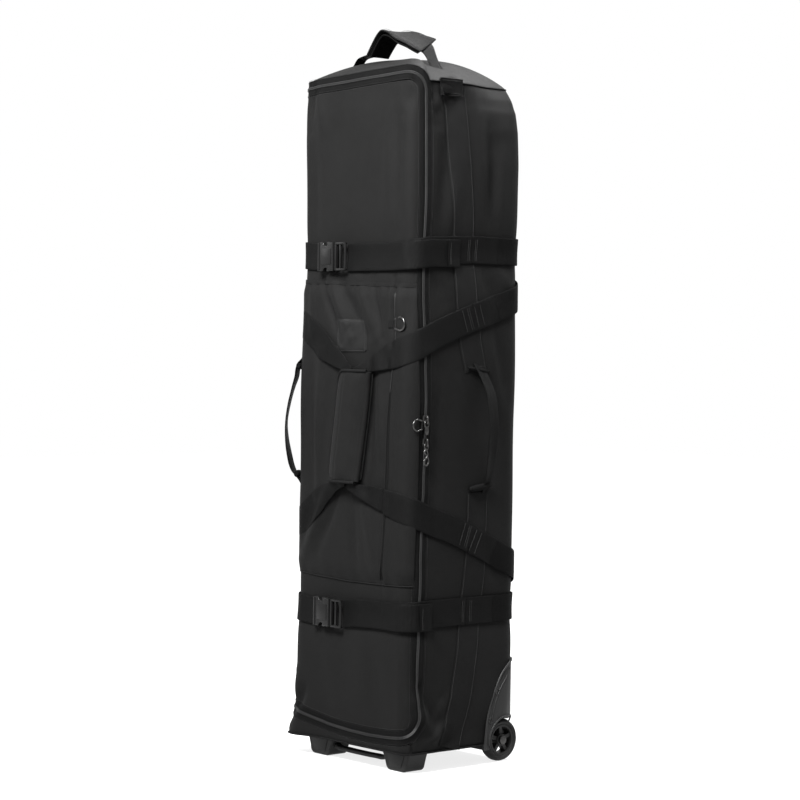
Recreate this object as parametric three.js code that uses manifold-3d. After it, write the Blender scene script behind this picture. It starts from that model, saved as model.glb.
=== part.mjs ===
// Wheeled soft travel case for golf clubs, standing on two front feet and two rear wheels.
// Millimetres, +Z up, front door facing -Y, the zipped edge on the +X side.
import * as THREE from "three";
import { mergeVertices } from "three/addons/utils/BufferGeometryUtils.js";
import Module from "manifold-3d";

const wasm = await Module();
wasm.setup();

// ---- Driving dimensions ----
const WIDTH = 320;
const DEPTH = 278;
const FRONT_RADIUS = 26;
const BACK_RADIUS = 42;
const BOTTOM = 36; // underside of the bag above the floor
const SIDE_TOP = 1250; // seam between the side walls and the top panel
const FRONT_TOP = 1262; // upper edge of the door's zip
const CREST = 1304; // middle of the domed top
const WALL = 5; // padded wall
const GAP = 0.3; // clearance between touching pieces

const ZIP_BEHIND_FRONT = 31; // zip centre line, measured back from the front face
const TAPE = 11; // one zip tape
const COIL = 2.6; // half of the zip coil
const COIL_RISE = 2;
const TAPE_IN = -1.5; // faces of the tape, measured outwards from the skin
const TAPE_OUT = 0.4;
const HALF_GAP = 0.2; // half of the line between the two sides of the zip
const DOOR_LOW = 68; // centre line of the zip along the bottom of the door
const DOOR_HIGH = 1252; // centre line of the zip along the top of the door

const WEB = 50; // webbing width
const WEB_THICK = 1.8;
const WEB_LIFT = 2.6; // webbing clears the zip coil it crosses
const RIBBON_THICK = 2.2; // webbing of the handles
const UPPER_STRAP = 940;
const LOWER_STRAP = 285;
const STRAP_STITCH = 0; // y where the straps and loops are sewn to the side
const UPPER_TAIL_END = -33;
const LOWER_TAIL_END = -88;

const POCKET_LOW = 342;
const POCKET_HIGH = 886;
const POCKET_LIFT = 5;

const TRAY_TOP = 42; // upper face of the bottom plate
const SEAM_IN = 12; // back seam, measured back along the skin from the end of the corner

const WHEEL_RADIUS = 40;
const WHEEL_WIDTH = 25;
const WHEEL_X = 137;
const WHEEL_Y = 110;
const WELL_RADIUS = 46;
const AXLE_RADIUS = 4;

const SLIDER_UP = 641;
const SLIDER_DOWN = 600;

// ---- Materials ----
const material = (color, roughness, metalness = 0) =>
  new THREE.MeshStandardMaterial({ color, roughness, metalness });
const fabric = () => material(0x1b1b1d, 0.85);
const webbing = () => material(0x121213, 0.75);
const lining = () => material(0x2a2b2e, 0.9);
const foam = () => material(0x303236, 0.95);
const mattePlastic = () => material(0x17171a, 0.6);
const glossPlastic = () => material(0x0d0d0e, 0.25);
const rubber = () => material(0x151516, 0.7);
const gunmetal = () => material(0x4a4b4e, 0.3, 1);

// ---- Solid helpers ----
function solid(geometry) {
  const bare = geometry.clone();
  bare.deleteAttribute("normal");
  bare.deleteAttribute("uv");
  const merged = mergeVertices(bare, 1e-4);
  return new wasm.Manifold(
    new wasm.Mesh({
      numProp: 3,
      vertProperties: merged.attributes.position.array,
      triVerts: new Uint32Array(merged.index.array),
    }),
  );
}

function geometryOf(body) {
  const mesh = body.getMesh();
  return new THREE.BufferGeometry()
    .setAttribute("position", new THREE.BufferAttribute(mesh.vertProperties, 3))
    .setIndex(new THREE.BufferAttribute(mesh.triVerts, 1));
}

const group = new THREE.Group();

function place(name, body, look) {
  const mesh = new THREE.Mesh(geometryOf(body), look);
  mesh.geometry.computeVertexNormals();
  mesh.name = name;
  group.add(mesh);
}

const joined = (bodies) => bodies.reduce((sum, next) => sum.add(next));

function block(x0, x1, y0, y1, z0, z1) {
  const box = new THREE.BoxGeometry(x1 - x0, y1 - y0, z1 - z0);
  return solid(box.translate((x0 + x1) / 2, (y0 + y1) / 2, (z0 + z1) / 2));
}

// A round bar along X.
function barX(radius, x0, x1, y, z, sides = 40) {
  const bar = new THREE.CylinderGeometry(radius, radius, x1 - x0, sides);
  return solid(bar.rotateZ(Math.PI / 2).translate((x0 + x1) / 2, y, z));
}

function outlined(points) {
  const shape = new THREE.Shape();
  points.forEach(([a, b], i) => (i ? shape.lineTo(a, b) : shape.moveTo(a, b)));
  return shape;
}

// A YZ outline given thickness from x0 to x1.
function extrudeX(points, x0, x1) {
  const flat = new THREE.ExtrudeGeometry(outlined(points), {
    depth: x1 - x0,
    bevelEnabled: false,
  });
  const turn = new THREE.Matrix4().set(0, 0, 1, x0, 1, 0, 0, 0, 0, 1, 0, 0, 0, 0, 0, 1);
  return solid(flat.applyMatrix4(turn));
}

// An XZ outline given thickness from y0 to y1.
function extrudeY(points, y0, y1) {
  const flat = new THREE.ExtrudeGeometry(outlined(points), {
    depth: y1 - y0,
    bevelEnabled: false,
  });
  return solid(flat.rotateX(Math.PI / 2).translate(0, y1, 0));
}

// ---- The skin: positions round the case, measured from the middle of the front ----
const FRONT_FLAT = WIDTH / 2 - FRONT_RADIUS;
const FRONT_ARC = (FRONT_RADIUS * Math.PI) / 2;
const SIDE_FLAT = DEPTH - FRONT_RADIUS - BACK_RADIUS;
const BACK_ARC = (BACK_RADIUS * Math.PI) / 2;
const SIDE_START = FRONT_FLAT + FRONT_ARC;
const SIDE_END = SIDE_START + SIDE_FLAT;
const BACK_START = SIDE_END + BACK_ARC;
const BACK_MIDDLE = BACK_START + WIDTH / 2 - BACK_RADIUS;
const CORNER_STEPS = 6;

// Distance round the skin of a point on the flat of a side wall.
const sideAt = (y) => SIDE_START + y + DEPTH / 2 - FRONT_RADIUS;

function onSkin(s, lift) {
  const hand = s < 0 ? -1 : 1;
  const d = Math.abs(s);
  if (d <= FRONT_FLAT) return [hand * d, -DEPTH / 2 - lift];
  if (d <= SIDE_START) {
    const turn = (d - FRONT_FLAT) / FRONT_RADIUS;
    const reach = FRONT_RADIUS + lift;
    return [
      hand * (FRONT_FLAT + reach * Math.sin(turn)),
      -DEPTH / 2 + FRONT_RADIUS - reach * Math.cos(turn),
    ];
  }
  if (d <= SIDE_END) {
    return [hand * (WIDTH / 2 + lift), -DEPTH / 2 + FRONT_RADIUS + d - SIDE_START];
  }
  if (d <= BACK_START) {
    const turn = (d - SIDE_END) / BACK_RADIUS;
    const reach = BACK_RADIUS + lift;
    return [
      hand * (WIDTH / 2 - BACK_RADIUS + reach * Math.cos(turn)),
      DEPTH / 2 - BACK_RADIUS + reach * Math.sin(turn),
    ];
  }
  return [hand * (WIDTH / 2 - BACK_RADIUS - d + BACK_START), DEPTH / 2 + lift];
}

function stations(from, to, extra = []) {
  const stops = [from, to, ...extra];
  for (let i = 0; i <= CORNER_STEPS; i++) {
    const front = FRONT_FLAT + (FRONT_ARC * i) / CORNER_STEPS;
    const back = SIDE_END + (BACK_ARC * i) / CORNER_STEPS;
    stops.push(front, -front, back, -back);
  }
  const inside = stops.filter((s) => s >= from && s <= to).sort((a, b) => a - b);
  return inside.filter((s, i) => i === 0 || s - inside[i - 1] > 0.01);
}

// A band following the skin. Each knot gives a distance, a height and a lift off the skin.
function band(knots, width, thick) {
  const from = knots[0].s;
  const to = knots[knots.length - 1].s;
  const stops = stations(from, to, knots.map((knot) => knot.s));
  const strip = new THREE.BoxGeometry(stops.length - 1, 1, 1, stops.length - 1, 1, 1);
  const position = strip.attributes.position;
  for (let i = 0; i < position.count; i++) {
    const s = stops[Math.round(position.getX(i) + (stops.length - 1) / 2)];
    const next = Math.max(1, knots.findIndex((knot) => knot.s >= s - 1e-6));
    const a = knots[next - 1];
    const b = knots[next];
    const share = (s - a.s) / (b.s - a.s);
    const z = a.z + (b.z - a.z) * share + position.getZ(i) * width;
    const lift = a.lift + (b.lift - a.lift) * share + (0.5 - position.getY(i)) * thick;
    const [x, y] = onSkin(s, lift);
    position.setXYZ(i, x, y, z);
  }
  return solid(strip);
}

const mirrorKnots = (knots) => knots.map((knot) => ({ ...knot, s: -knot.s })).reverse();

// A wall piece between two distances and two heights, from one lift to another.
function wall(from, to, low, high, inner, outer) {
  const z = (low + high) / 2;
  const ends = [from, to].map((s) => ({ s, z, lift: inner }));
  return band(ends, high - low, outer - inner);
}

// The whole outline of the case as a solid prism.
function prism(low, high, lift) {
  const outline = stations(-BACK_MIDDLE, BACK_MIDDLE - 0.1).map((s) => onSkin(s, lift));
  const flat = new THREE.ExtrudeGeometry(outlined(outline), {
    depth: high - low,
    bevelEnabled: false,
  });
  return solid(flat.translate(0, 0, low));
}

// ---- Wheel housings ----
const HOUSING_SIDE = [
  [52, BOTTOM - 8],
  [56, 80],
  [73, 135],
  [113, 186],
  [DEPTH / 2 + 3, 192],
  [DEPTH / 2 + 3, BOTTOM - 8],
];
const HOUSING_INNER = 104;
const HOUSING_OUTER = WIDTH / 2 + 2.5;
const WELL_WALL = 120;

// Moves each edge of an outline outwards; the outline runs clockwise as listed.
function outset(points, spare) {
  return points.map(([a, b], i) => {
    const [a0, b0] = points[(i + points.length - 1) % points.length];
    const [a1, b1] = points[(i + 1) % points.length];
    const before = new THREE.Vector2(a - a0, b - b0).normalize();
    const after = new THREE.Vector2(a1 - a, b1 - b).normalize();
    const normal = new THREE.Vector2(-before.y - after.y, before.x + after.x);
    const reach = (2 * spare) / normal.lengthSq();
    return [a + normal.x * reach, b + normal.y * reach];
  });
}

function housingRoom(hand, spare) {
  const room = extrudeX(outset(HOUSING_SIDE, spare), HOUSING_INNER - spare, HOUSING_OUTER + 9);
  return hand > 0 ? room : room.mirror([1, 0, 0]);
}

const bothRooms = housingRoom(1, 0.6).add(housingRoom(-1, 0.6));

// ---- Case shell ----
const ZIP = sideAt(-DEPTH / 2 + ZIP_BEHIND_FRONT);
const BACK_SEAM = BACK_START - SEAM_IN;
const WALL_LOW = TRAY_TOP + GAP;

const backPanel = joined([
  wall(BACK_SEAM + GAP, BACK_MIDDLE, WALL_LOW, SIDE_TOP - GAP, -WALL, 0),
  wall(-BACK_MIDDLE, -BACK_SEAM - GAP, WALL_LOW, SIDE_TOP - GAP, -WALL, 0),
]);
place("back_panel", backPanel.subtract(bothRooms), fabric());

const sideRight = wall(ZIP + TAPE + GAP, BACK_SEAM, WALL_LOW, SIDE_TOP - GAP, -WALL, 0);
const sideLeft = wall(-BACK_SEAM, -ZIP - GAP, WALL_LOW, SIDE_TOP - GAP, -WALL, 0);
place("side_panel_right", sideRight.subtract(bothRooms), fabric());
place("side_panel_left", sideLeft.subtract(bothRooms), fabric());

function arch(half, edge, crest, steps) {
  const points = [];
  for (let i = 0; i <= steps; i++) {
    const a = half - (2 * half * i) / steps;
    points.push([a, crest - (crest - edge) * (a / half) ** 2]);
  }
  return points;
}

function dome(inset) {
  const edge = SIDE_TOP - inset;
  const steps = 16;
  const across = arch(WIDTH / 2, edge, CREST - inset, steps);
  const along = arch(DEPTH / 2, FRONT_TOP + 2 - inset, CREST - inset, steps);
  const below = SIDE_TOP - 20;
  const lowX = [
    [-WIDTH / 2, below],
    [WIDTH / 2, below],
  ];
  const lowY = [
    [-DEPTH / 2, below],
    [DEPTH / 2, below],
  ];
  return prism(SIDE_TOP, CREST, -inset)
    .intersect(extrudeY([...lowX, ...across], -DEPTH / 2, DEPTH / 2))
    .intersect(extrudeX([...lowY, ...along], -WIDTH / 2, WIDTH / 2));
}

const zipEdge = ZIP + TAPE + GAP;
const zipRoom = wall(-zipEdge, zipEdge, SIDE_TOP - WEB, FRONT_TOP + GAP, -WALL - 1, 1);
const hollow = dome(WALL).add(prism(SIDE_TOP - WALL, SIDE_TOP + 1, -WALL));
place("top_panel", dome(0).subtract(hollow).subtract(zipRoom), fabric());

const skirtTop = DOOR_LOW - TAPE - GAP;
const skirt = wall(-ZIP, ZIP + TAPE, BOTTOM + 1, skirtTop, -WALL, 0);
const tray = prism(BOTTOM, TRAY_TOP, 0).add(skirt).subtract(bothRooms);
place("base_tray", tray, fabric());

const BOARD_THICK = 4;
const BOARD_LOW = 200;
const BOARD_HIGH = 1240;
const boardHalf = WIDTH / 2 - BACK_RADIUS - 8;
const boardY = DEPTH / 2 - WALL - GAP;
const board = block(-boardHalf, boardHalf, boardY - BOARD_THICK, boardY, BOARD_LOW, BOARD_HIGH);
place("back_stiffener", board, lining());

// The head pad has a shallow cradle for the club heads.
const PAD_THICK = 25;
const PAD_LOW = 960;
const PAD_HIGH = 1230;
const CRADLE_RADIUS = 90;
const CRADLE_DEPTH = 15;
const padSide = WIDTH / 2 - BACK_RADIUS + 12;
const padBack = boardY - BOARD_THICK - 1;
const padFront = padBack - PAD_THICK;
const cradle = solid(
  new THREE.CylinderGeometry(CRADLE_RADIUS, CRADLE_RADIUS, PAD_HIGH - PAD_LOW + 30, 32)
    .rotateX(Math.PI)
    .rotateX(Math.PI / 2)
    .translate(0, padFront + CRADLE_DEPTH - CRADLE_RADIUS, (PAD_LOW + PAD_HIGH) / 2),
);
const headPad = block(-padSide, padSide, padFront, padBack, PAD_LOW, PAD_HIGH);
place("head_pad", headPad.subtract(cradle), foam());

// ---- Zip round the door: along the bottom, up the right side and along the top ----
const ZIP_LEFT = -FRONT_FLAT - 8;

// One side of the zip: a flat tape with the raised coil along its inner edge.
function tapeStrip(from, to, low, high, coilFrom, coilTo, coilLow, coilHigh) {
  const tape = wall(from, to, low, high, TAPE_IN, TAPE_OUT);
  return tape.add(wall(coilFrom, coilTo, coilLow, coilHigh, TAPE_IN + 0.5, COIL_RISE));
}

const shellHigh = DOOR_HIGH + TAPE - 1;
const footOut = DOOR_LOW - HALF_GAP;
const headOut = DOOR_HIGH + HALF_GAP;
const sideOut = ZIP + HALF_GAP;
const shellTape = joined([
  tapeStrip(ZIP_LEFT, ZIP + TAPE, DOOR_LOW - TAPE, footOut, ZIP_LEFT, ZIP + COIL, DOOR_LOW - COIL, footOut),
  tapeStrip(
    sideOut, ZIP + TAPE, DOOR_LOW - TAPE, shellHigh,
    sideOut, ZIP + COIL, DOOR_LOW - COIL, DOOR_HIGH + COIL,
  ),
  tapeStrip(ZIP_LEFT, ZIP + TAPE, headOut, shellHigh, ZIP_LEFT, ZIP + COIL, headOut, DOOR_HIGH + COIL),
]);
place("zip_tape_shell", shellTape, webbing());

const footIn = DOOR_LOW + HALF_GAP;
const headIn = DOOR_HIGH - HALF_GAP;
const sideIn = ZIP - HALF_GAP;
const doorTape = joined([
  tapeStrip(ZIP_LEFT, sideIn, footIn, DOOR_LOW + TAPE, ZIP_LEFT, sideIn, footIn, DOOR_LOW + COIL),
  tapeStrip(ZIP - TAPE, sideIn, footIn, headIn, ZIP - COIL, sideIn, footIn, headIn),
  tapeStrip(ZIP_LEFT, sideIn, DOOR_HIGH - TAPE, headIn, ZIP_LEFT, sideIn, DOOR_HIGH - COIL, headIn),
]);
place("zip_tape_door", doorTape, webbing());

// ---- Door ----
const doorLow = DOOR_LOW + TAPE + GAP;
const doorHigh = DOOR_HIGH - TAPE - GAP;
place("door_panel", wall(-ZIP + GAP, ZIP - TAPE - GAP, doorLow, doorHigh, -WALL, 0), fabric());

const pocketSide = FRONT_FLAT + 12;
const pocket = wall(-pocketSide, pocketSide, POCKET_LOW, POCKET_HIGH, GAP, POCKET_LIFT);
place("pocket_panel", pocket, fabric());

const POCKET_ZIP = 103; // its middle, measured round the skin
const POCKET_ZIP_LENGTH = 530;
const pocketZip = [-6, 6].map((off) => ({
  s: POCKET_ZIP + off,
  z: (POCKET_LOW + POCKET_HIGH) / 2 - 2,
  lift: POCKET_LIFT + GAP,
}));
place("pocket_zip", band(pocketZip, POCKET_ZIP_LENGTH, 1.4), webbing());

const PATCH_HALF = 38;
const PATCH_LOW = 760;
const PATCH_HIGH = 820;
const PATCH_THICK = 2;
const patchBack = POCKET_LIFT + GAP;
const patch = wall(-PATCH_HALF, PATCH_HALF, PATCH_LOW, PATCH_HIGH, patchBack, patchBack + PATCH_THICK);
place("label_patch", patch, rubber());

// ---- Compression straps ----
const LADDER = -20; // position of the ladder-lock bar round the skin
const LEFT_END = -92; // where the left strap is sewn to the buckle
const SEWN = 0.05; // how far a sewn layer sinks into the one below

function strapRight(height, tailEnd) {
  const layer = (from, to, z, lift) => band([from, to].map((s) => ({ s, z, lift })), WEB, WEB_THICK);
  const under = layer(LADDER, sideAt(STRAP_STITCH) - GAP, height, WEB_LIFT);
  const tail = layer(LADDER + 6, sideAt(tailEnd), height - 2, WEB_LIFT + WEB_THICK - SEWN);
  return under.add(tail);
}

function strapLeft(height) {
  const ends = [-sideAt(STRAP_STITCH) + GAP, LEFT_END].map((s) => ({ s, z: height, lift: WEB_LIFT }));
  return band(ends, WEB, WEB_THICK);
}

// Round the back, in two halves that meet behind the case.
function aroundBack(knots) {
  const right = [...knots, { ...knots[knots.length - 1], s: BACK_MIDDLE }];
  return band(right, WEB, WEB_THICK).add(band(mirrorKnots(right), WEB, WEB_THICK));
}

// Side release buckles: half heights, faces, and places along X.
const BUCKLE_HALF = 27;
const SOCKET_FRONT = -DEPTH / 2 - 14;
const SOCKET_LEFT = -90;
const SOCKET_RIGHT = -48;
const LUG_LEFT = SOCKET_LEFT - 6;
const ARM_SLOT = 9;
const PLUG_FRONT = SOCKET_FRONT + 1;
const PLUG_LEFT = SOCKET_RIGHT + 2;
const PLUG_RIGHT = -14;
const PLUG_RAIL = 3;
const PLUG_BAR = 4;
const ARM_END = SOCKET_RIGHT - 20;
const ARM_WIDTH = 6;

// A piece against one edge of a buckle, reaching in by some amount.
function edgeBlock(height, side, x0, x1, y0, y1, out, reach) {
  const edge = height + side * out;
  const [low, high] = [edge, edge - side * reach].sort((a, b) => a - b);
  return block(x0, x1, y0, y1, low, high);
}

function buckleSocket(height) {
  const half = BUCKLE_HALF;
  const back = -DEPTH / 2 - WEB_LIFT - WEB_THICK - GAP;
  const shell = block(SOCKET_LEFT, SOCKET_RIGHT, SOCKET_FRONT, back, height - half, height + half);
  const lug = block(LUG_LEFT, SOCKET_LEFT + 1, SOCKET_FRONT + 3, back, height - half + 1, height + half - 1);
  const slot = (side) =>
    edgeBlock(
      height, side, ARM_END - 2, SOCKET_RIGHT + 1,
      SOCKET_FRONT - 1, SOCKET_FRONT + 6, half + 1, ARM_SLOT + 1,
    );
  return shell.add(lug).subtract(slot(1)).subtract(slot(-1));
}

function bucklePlug(height) {
  const half = BUCKLE_HALF - 1;
  const back = -DEPTH / 2 - WEB_LIFT - 2 * WEB_THICK - 2 * GAP;
  const upright = (x0, x1, front, out) => block(x0, x1, front, back, height - out, height + out);
  const parts = [
    upright(PLUG_LEFT, PLUG_LEFT + 10, PLUG_FRONT, half),
    upright(-30, -30 + PLUG_BAR, PLUG_FRONT + 1, half - 1),
    upright(PLUG_RIGHT - PLUG_BAR, PLUG_RIGHT, PLUG_FRONT, half),
  ];
  for (const side of [1, -1]) {
    parts.push(edgeBlock(height, side, PLUG_LEFT + 9, PLUG_RIGHT, PLUG_FRONT, back, half, PLUG_RAIL));
    const armBack = PLUG_FRONT + 3.5;
    parts.push(edgeBlock(height, side, ARM_END, PLUG_LEFT + 1, PLUG_FRONT - 0.5, armBack, half, ARM_WIDTH));
  }
  return joined(parts);
}

const straps = [
  ["upper", UPPER_STRAP, UPPER_TAIL_END],
  ["lower", LOWER_STRAP, LOWER_TAIL_END],
];
for (const [name, height, tailEnd] of straps) {
  const start = { s: sideAt(STRAP_STITCH), z: height, lift: WEB_LIFT };
  place(name + "_strap_back", aroundBack([start]), webbing());
  place(name + "_strap_left", strapLeft(height), webbing());
  place(name + "_strap_right", strapRight(height, tailEnd), webbing());
  place(name + "_buckle_socket", buckleSocket(height), glossPlastic());
  place(name + "_buckle_plug", bucklePlug(height), glossPlastic());
}

// ---- Carry loops held by the grip wrap ----
const GRIP_LOW = 522;
const GRIP_HIGH = 728;
const LOOP_LIFT = 15;

const upperLoop = [
  { s: 24, z: 756, lift: LOOP_LIFT },
  { s: 60, z: 758, lift: 9 },
  { s: 150, z: 770, lift: 6.2 },
  { s: 168, z: 778, lift: WEB_LIFT },
  { s: sideAt(STRAP_STITCH) - GAP, z: 828, lift: WEB_LIFT },
];
const lowerLoop = [
  { s: 24, z: 494, lift: LOOP_LIFT },
  { s: 60, z: 490, lift: 9 },
  { s: 150, z: 466, lift: 6.2 },
  { s: 168, z: 460, lift: WEB_LIFT },
  { s: sideAt(STRAP_STITCH) - GAP, z: 418, lift: WEB_LIFT },
];
const LOOP_INNER = 14; // edges of the upright part that the grip wraps
const LOOP_OUTER = 38;
const loopMiddle = (hand) => {
  const [from, to] = [hand * LOOP_INNER, hand * LOOP_OUTER].sort((a, b) => a - b);
  const low = lowerLoop[0].z - 4;
  return wall(from, to, low, upperLoop[0].z, LOOP_LIFT, LOOP_LIFT + WEB_THICK);
};
const loopRight = [band(upperLoop, WEB, WEB_THICK), loopMiddle(1), band(lowerLoop, WEB, WEB_THICK)];
const loopLeft = [
  band(mirrorKnots(upperLoop), WEB, WEB_THICK),
  loopMiddle(-1),
  band(mirrorKnots(lowerLoop), WEB, WEB_THICK),
];
place("carry_loop_right", joined(loopRight), webbing());
place("carry_loop_left", joined(loopLeft), webbing());

const upperAnchor = [
  { s: sideAt(STRAP_STITCH), z: 828, lift: WEB_LIFT },
  { s: SIDE_END, z: 854, lift: WEB_LIFT },
  { s: BACK_START, z: 876, lift: WEB_LIFT },
];
const lowerAnchor = [
  { s: sideAt(STRAP_STITCH), z: 418, lift: WEB_LIFT },
  { s: SIDE_END, z: 384, lift: WEB_LIFT },
  { s: BACK_START, z: 358, lift: WEB_LIFT },
];
place("carry_loop_back_upper", aroundBack(upperAnchor), webbing());
place("carry_loop_back_lower", aroundBack(lowerAnchor), webbing());

// A thin pad lies under the loops, and a thick flap folds over them from its right edge.
const PAD_BACK = 8;
const FLAP_EDGE = 48;
const FLAP_FOLD = 6;
const FLAP_FRONT = LOOP_LIFT + 11;
const gripPad = wall(-34, 40, GRIP_LOW + 4, GRIP_HIGH - 4, PAD_BACK, LOOP_LIFT - 2);
place("grip_pad", gripPad, fabric());
const flapOuter = wall(-36, FLAP_EDGE, GRIP_LOW, GRIP_HIGH, LOOP_LIFT + 4, FLAP_FRONT);
const flapFold = wall(FLAP_EDGE - FLAP_FOLD, FLAP_EDGE, GRIP_LOW, GRIP_HIGH, PAD_BACK, FLAP_FRONT);
place("grip_flap", flapOuter.add(flapFold), fabric());

// ---- Webbing bands and handles on the sides ----
const BAND_Y = 0;
const BAND_LOW = 44;
const BAND_HIGH = 1222;
const BAND_THICK = 1.7;
const HANDLE_Y = 30;
const HANDLE_LOW = 505;
const HANDLE_HIGH = 737;
const HANDLE_REACH = 36;
const HANDLE_STAND = 4; // anchors of a handle, above the skin
const HANDLE_HALF = 13;
const CORNER_HANDLE_LOW = 523;
const CORNER_HANDLE_HIGH = 737;
const CORNER_HANDLE_REACH = 41.53;
const CORNER_HANDLE_TURN = 214.6; // direction of the corner handle, in degrees from +X

// An XZ line given thickness, and width along Y.
function ribbonX(points, thick, y0, y1) {
  const curve = new THREE.SplineCurve(points.map(([x, z]) => new THREE.Vector2(x, z)));
  const count = 28;
  const left = [];
  const right = [];
  for (let i = 0; i <= count; i++) {
    const at = curve.getPoint(i / count);
    const along = curve.getTangent(i / count);
    left.push([at.x - (along.y * thick) / 2, at.y + (along.x * thick) / 2]);
    right.push([at.x + (along.y * thick) / 2, at.y - (along.x * thick) / 2]);
  }
  return extrudeY([...left, ...right.reverse()], y0, y1);
}

const bandMiddle = sideAt(BAND_Y);

function sideBand(hand, low, high) {
  const [from, to] = [hand * (bandMiddle - WEB / 2), hand * (bandMiddle + WEB / 2)].sort((a, b) => a - b);
  return wall(from, to, low, high, GAP, GAP + BAND_THICK);
}

// A grab handle that stands out along +X from a foot line; its webbing narrows to both ends.
function sideHandle(foot, low, high, reach) {
  const middle = (low + high) / 2;
  const taper = 60;
  const shoulder = 34;
  const line = [
    [foot, low],
    [foot + 9, low + 9],
    [foot + 20, low + shoulder],
    [foot + reach - 5, middle - 50],
    [foot + reach, middle],
    [foot + reach - 5, middle + 50],
    [foot + 20, high - shoulder],
    [foot + 9, high - 9],
    [foot, high],
  ];
  const narrow = HANDLE_HALF - 7;
  const outline = [
    [-narrow, low],
    [-HANDLE_HALF, low + taper],
    [-HANDLE_HALF, high - taper],
    [-narrow, high],
    [narrow, high],
    [HANDLE_HALF, high - taper],
    [HANDLE_HALF, low + taper],
    [narrow, low],
  ];
  const wide = ribbonX(line, RIBBON_THICK, -HANDLE_HALF, HANDLE_HALF);
  return wide.intersect(extrudeX(outline, 0, foot + 2 * reach));
}

place("side_band_upper_right", sideBand(1, HANDLE_HIGH + 2, BAND_HIGH), webbing());
place("side_band_lower_right", sideBand(1, BAND_LOW, HANDLE_LOW - 2), webbing());
place("side_band_left", sideBand(-1, BAND_LOW, BAND_HIGH), webbing());

const rightHandle = sideHandle(WIDTH / 2 + HANDLE_STAND, HANDLE_LOW, HANDLE_HIGH, HANDLE_REACH);
place("side_handle_right", rightHandle.translate([0, HANDLE_Y, 0]), webbing());

// The other grab handle is sewn on the rounded corner beside the door's hinge.
const cornerFoot = FRONT_RADIUS + HANDLE_STAND;
const cornerHandle = sideHandle(cornerFoot, CORNER_HANDLE_LOW, CORNER_HANDLE_HIGH, CORNER_HANDLE_REACH)
  .rotate([0, 0, CORNER_HANDLE_TURN])
  .translate([-FRONT_FLAT, -DEPTH / 2 + FRONT_RADIUS, 0]);
place("side_handle_left", cornerHandle, webbing());

// ---- Top handle ----
const TOP_HANDLE_Y = -45;
const TOP_HANDLE_END = 1226;
const topHandleSide = WIDTH / 2 + 3.6;
const topHandle = [
  [topHandleSide, TOP_HANDLE_END],
  [topHandleSide, SIDE_TOP],
  [150, 1269],
  [118, 1292],
  [85, 1322],
  [40, 1351],
  [-5, 1361],
  [-58, 1334],
  [-112, 1298],
  [-150, 1269],
  [-topHandleSide, SIDE_TOP],
  [-topHandleSide, TOP_HANDLE_END],
];
const topWeb = ribbonX(topHandle, RIBBON_THICK + 0.2, TOP_HANDLE_Y - WEB / 2, TOP_HANDLE_Y + WEB / 2);
place("top_handle_webbing", topWeb, webbing());
const gripLine = [
  [85, 1329],
  [40, 1358],
  [-5, 1367],
  [-58, 1341],
];
const GRIP_WRAP_HALF = 31;
const GRIP_WRAP_THICK = 6;
const gripOver = ribbonX(
  gripLine,
  GRIP_WRAP_THICK,
  TOP_HANDLE_Y - GRIP_WRAP_HALF,
  TOP_HANDLE_Y + GRIP_WRAP_HALF,
);
place("top_handle_grip", gripOver, fabric());

// ---- Wheel housings, wheels, screws ----
const SCREWS = [
  [82, 134],
  [66, 82],
];
const SCREW_RADIUS = 4;
const SCREW_DEPTH = 5;
const HUB_RADIUS = 29;
const SPOKES = 5;
const SPOKE_WIDTH = 7;
const BOSS_RADIUS = 11;
const AXLE_HEAD = 8;
const FAR = 200; // beyond every face of a housing

function screwHole([y, z]) {
  return barX(SCREW_RADIUS + GAP, HOUSING_OUTER - SCREW_DEPTH, HOUSING_OUTER + 1, y, z, 24);
}

function screw([y, z]) {
  const head = barX(SCREW_RADIUS, HOUSING_OUTER - SCREW_DEPTH + GAP, HOUSING_OUTER - 0.6, y, z, 24);
  const slot = block(HOUSING_OUTER - 2, HOUSING_OUTER, y - 3, y + 3, z - 0.6, z + 0.6);
  return head.subtract(slot);
}

function housing() {
  const cuts = [
    barX(WELL_RADIUS, WELL_WALL, FAR, WHEEL_Y, WHEEL_RADIUS),
    block(WELL_WALL, FAR, WHEEL_Y - WELL_RADIUS, FAR, -10, WHEEL_RADIUS),
    block(WELL_WALL, FAR, WHEEL_Y, FAR, 0, WHEEL_RADIUS + 30),
    block(HOUSING_INNER - 1, WELL_WALL + 1, WHEEL_Y + 20, FAR, 0, BOTTOM),
    barX(AXLE_RADIUS + GAP, HOUSING_INNER - 1, WELL_WALL + 1, WHEEL_Y, WHEEL_RADIUS),
    ...SCREWS.map(screwHole),
  ];
  const outside = prism(BOTTOM - 10, FAR, HOUSING_OUTER - WIDTH / 2);
  return extrudeX(HOUSING_SIDE, HOUSING_INNER, HOUSING_OUTER).intersect(outside).subtract(joined(cuts));
}

function tyre() {
  const half = WHEEL_WIDTH / 2;
  const profile = [
    [HUB_RADIUS, -half + 3],
    [WHEEL_RADIUS - 6, -half],
    [WHEEL_RADIUS - 2, -half + 4],
    [WHEEL_RADIUS, -3],
    [WHEEL_RADIUS, 3],
    [WHEEL_RADIUS - 2, half - 4],
    [WHEEL_RADIUS - 6, half],
    [HUB_RADIUS, half - 3],
    [HUB_RADIUS, -half + 3],
  ].map(([r, h]) => new THREE.Vector2(r, h));
  return solid(new THREE.LatheGeometry(profile, 56).rotateZ(Math.PI / 2));
}

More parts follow.
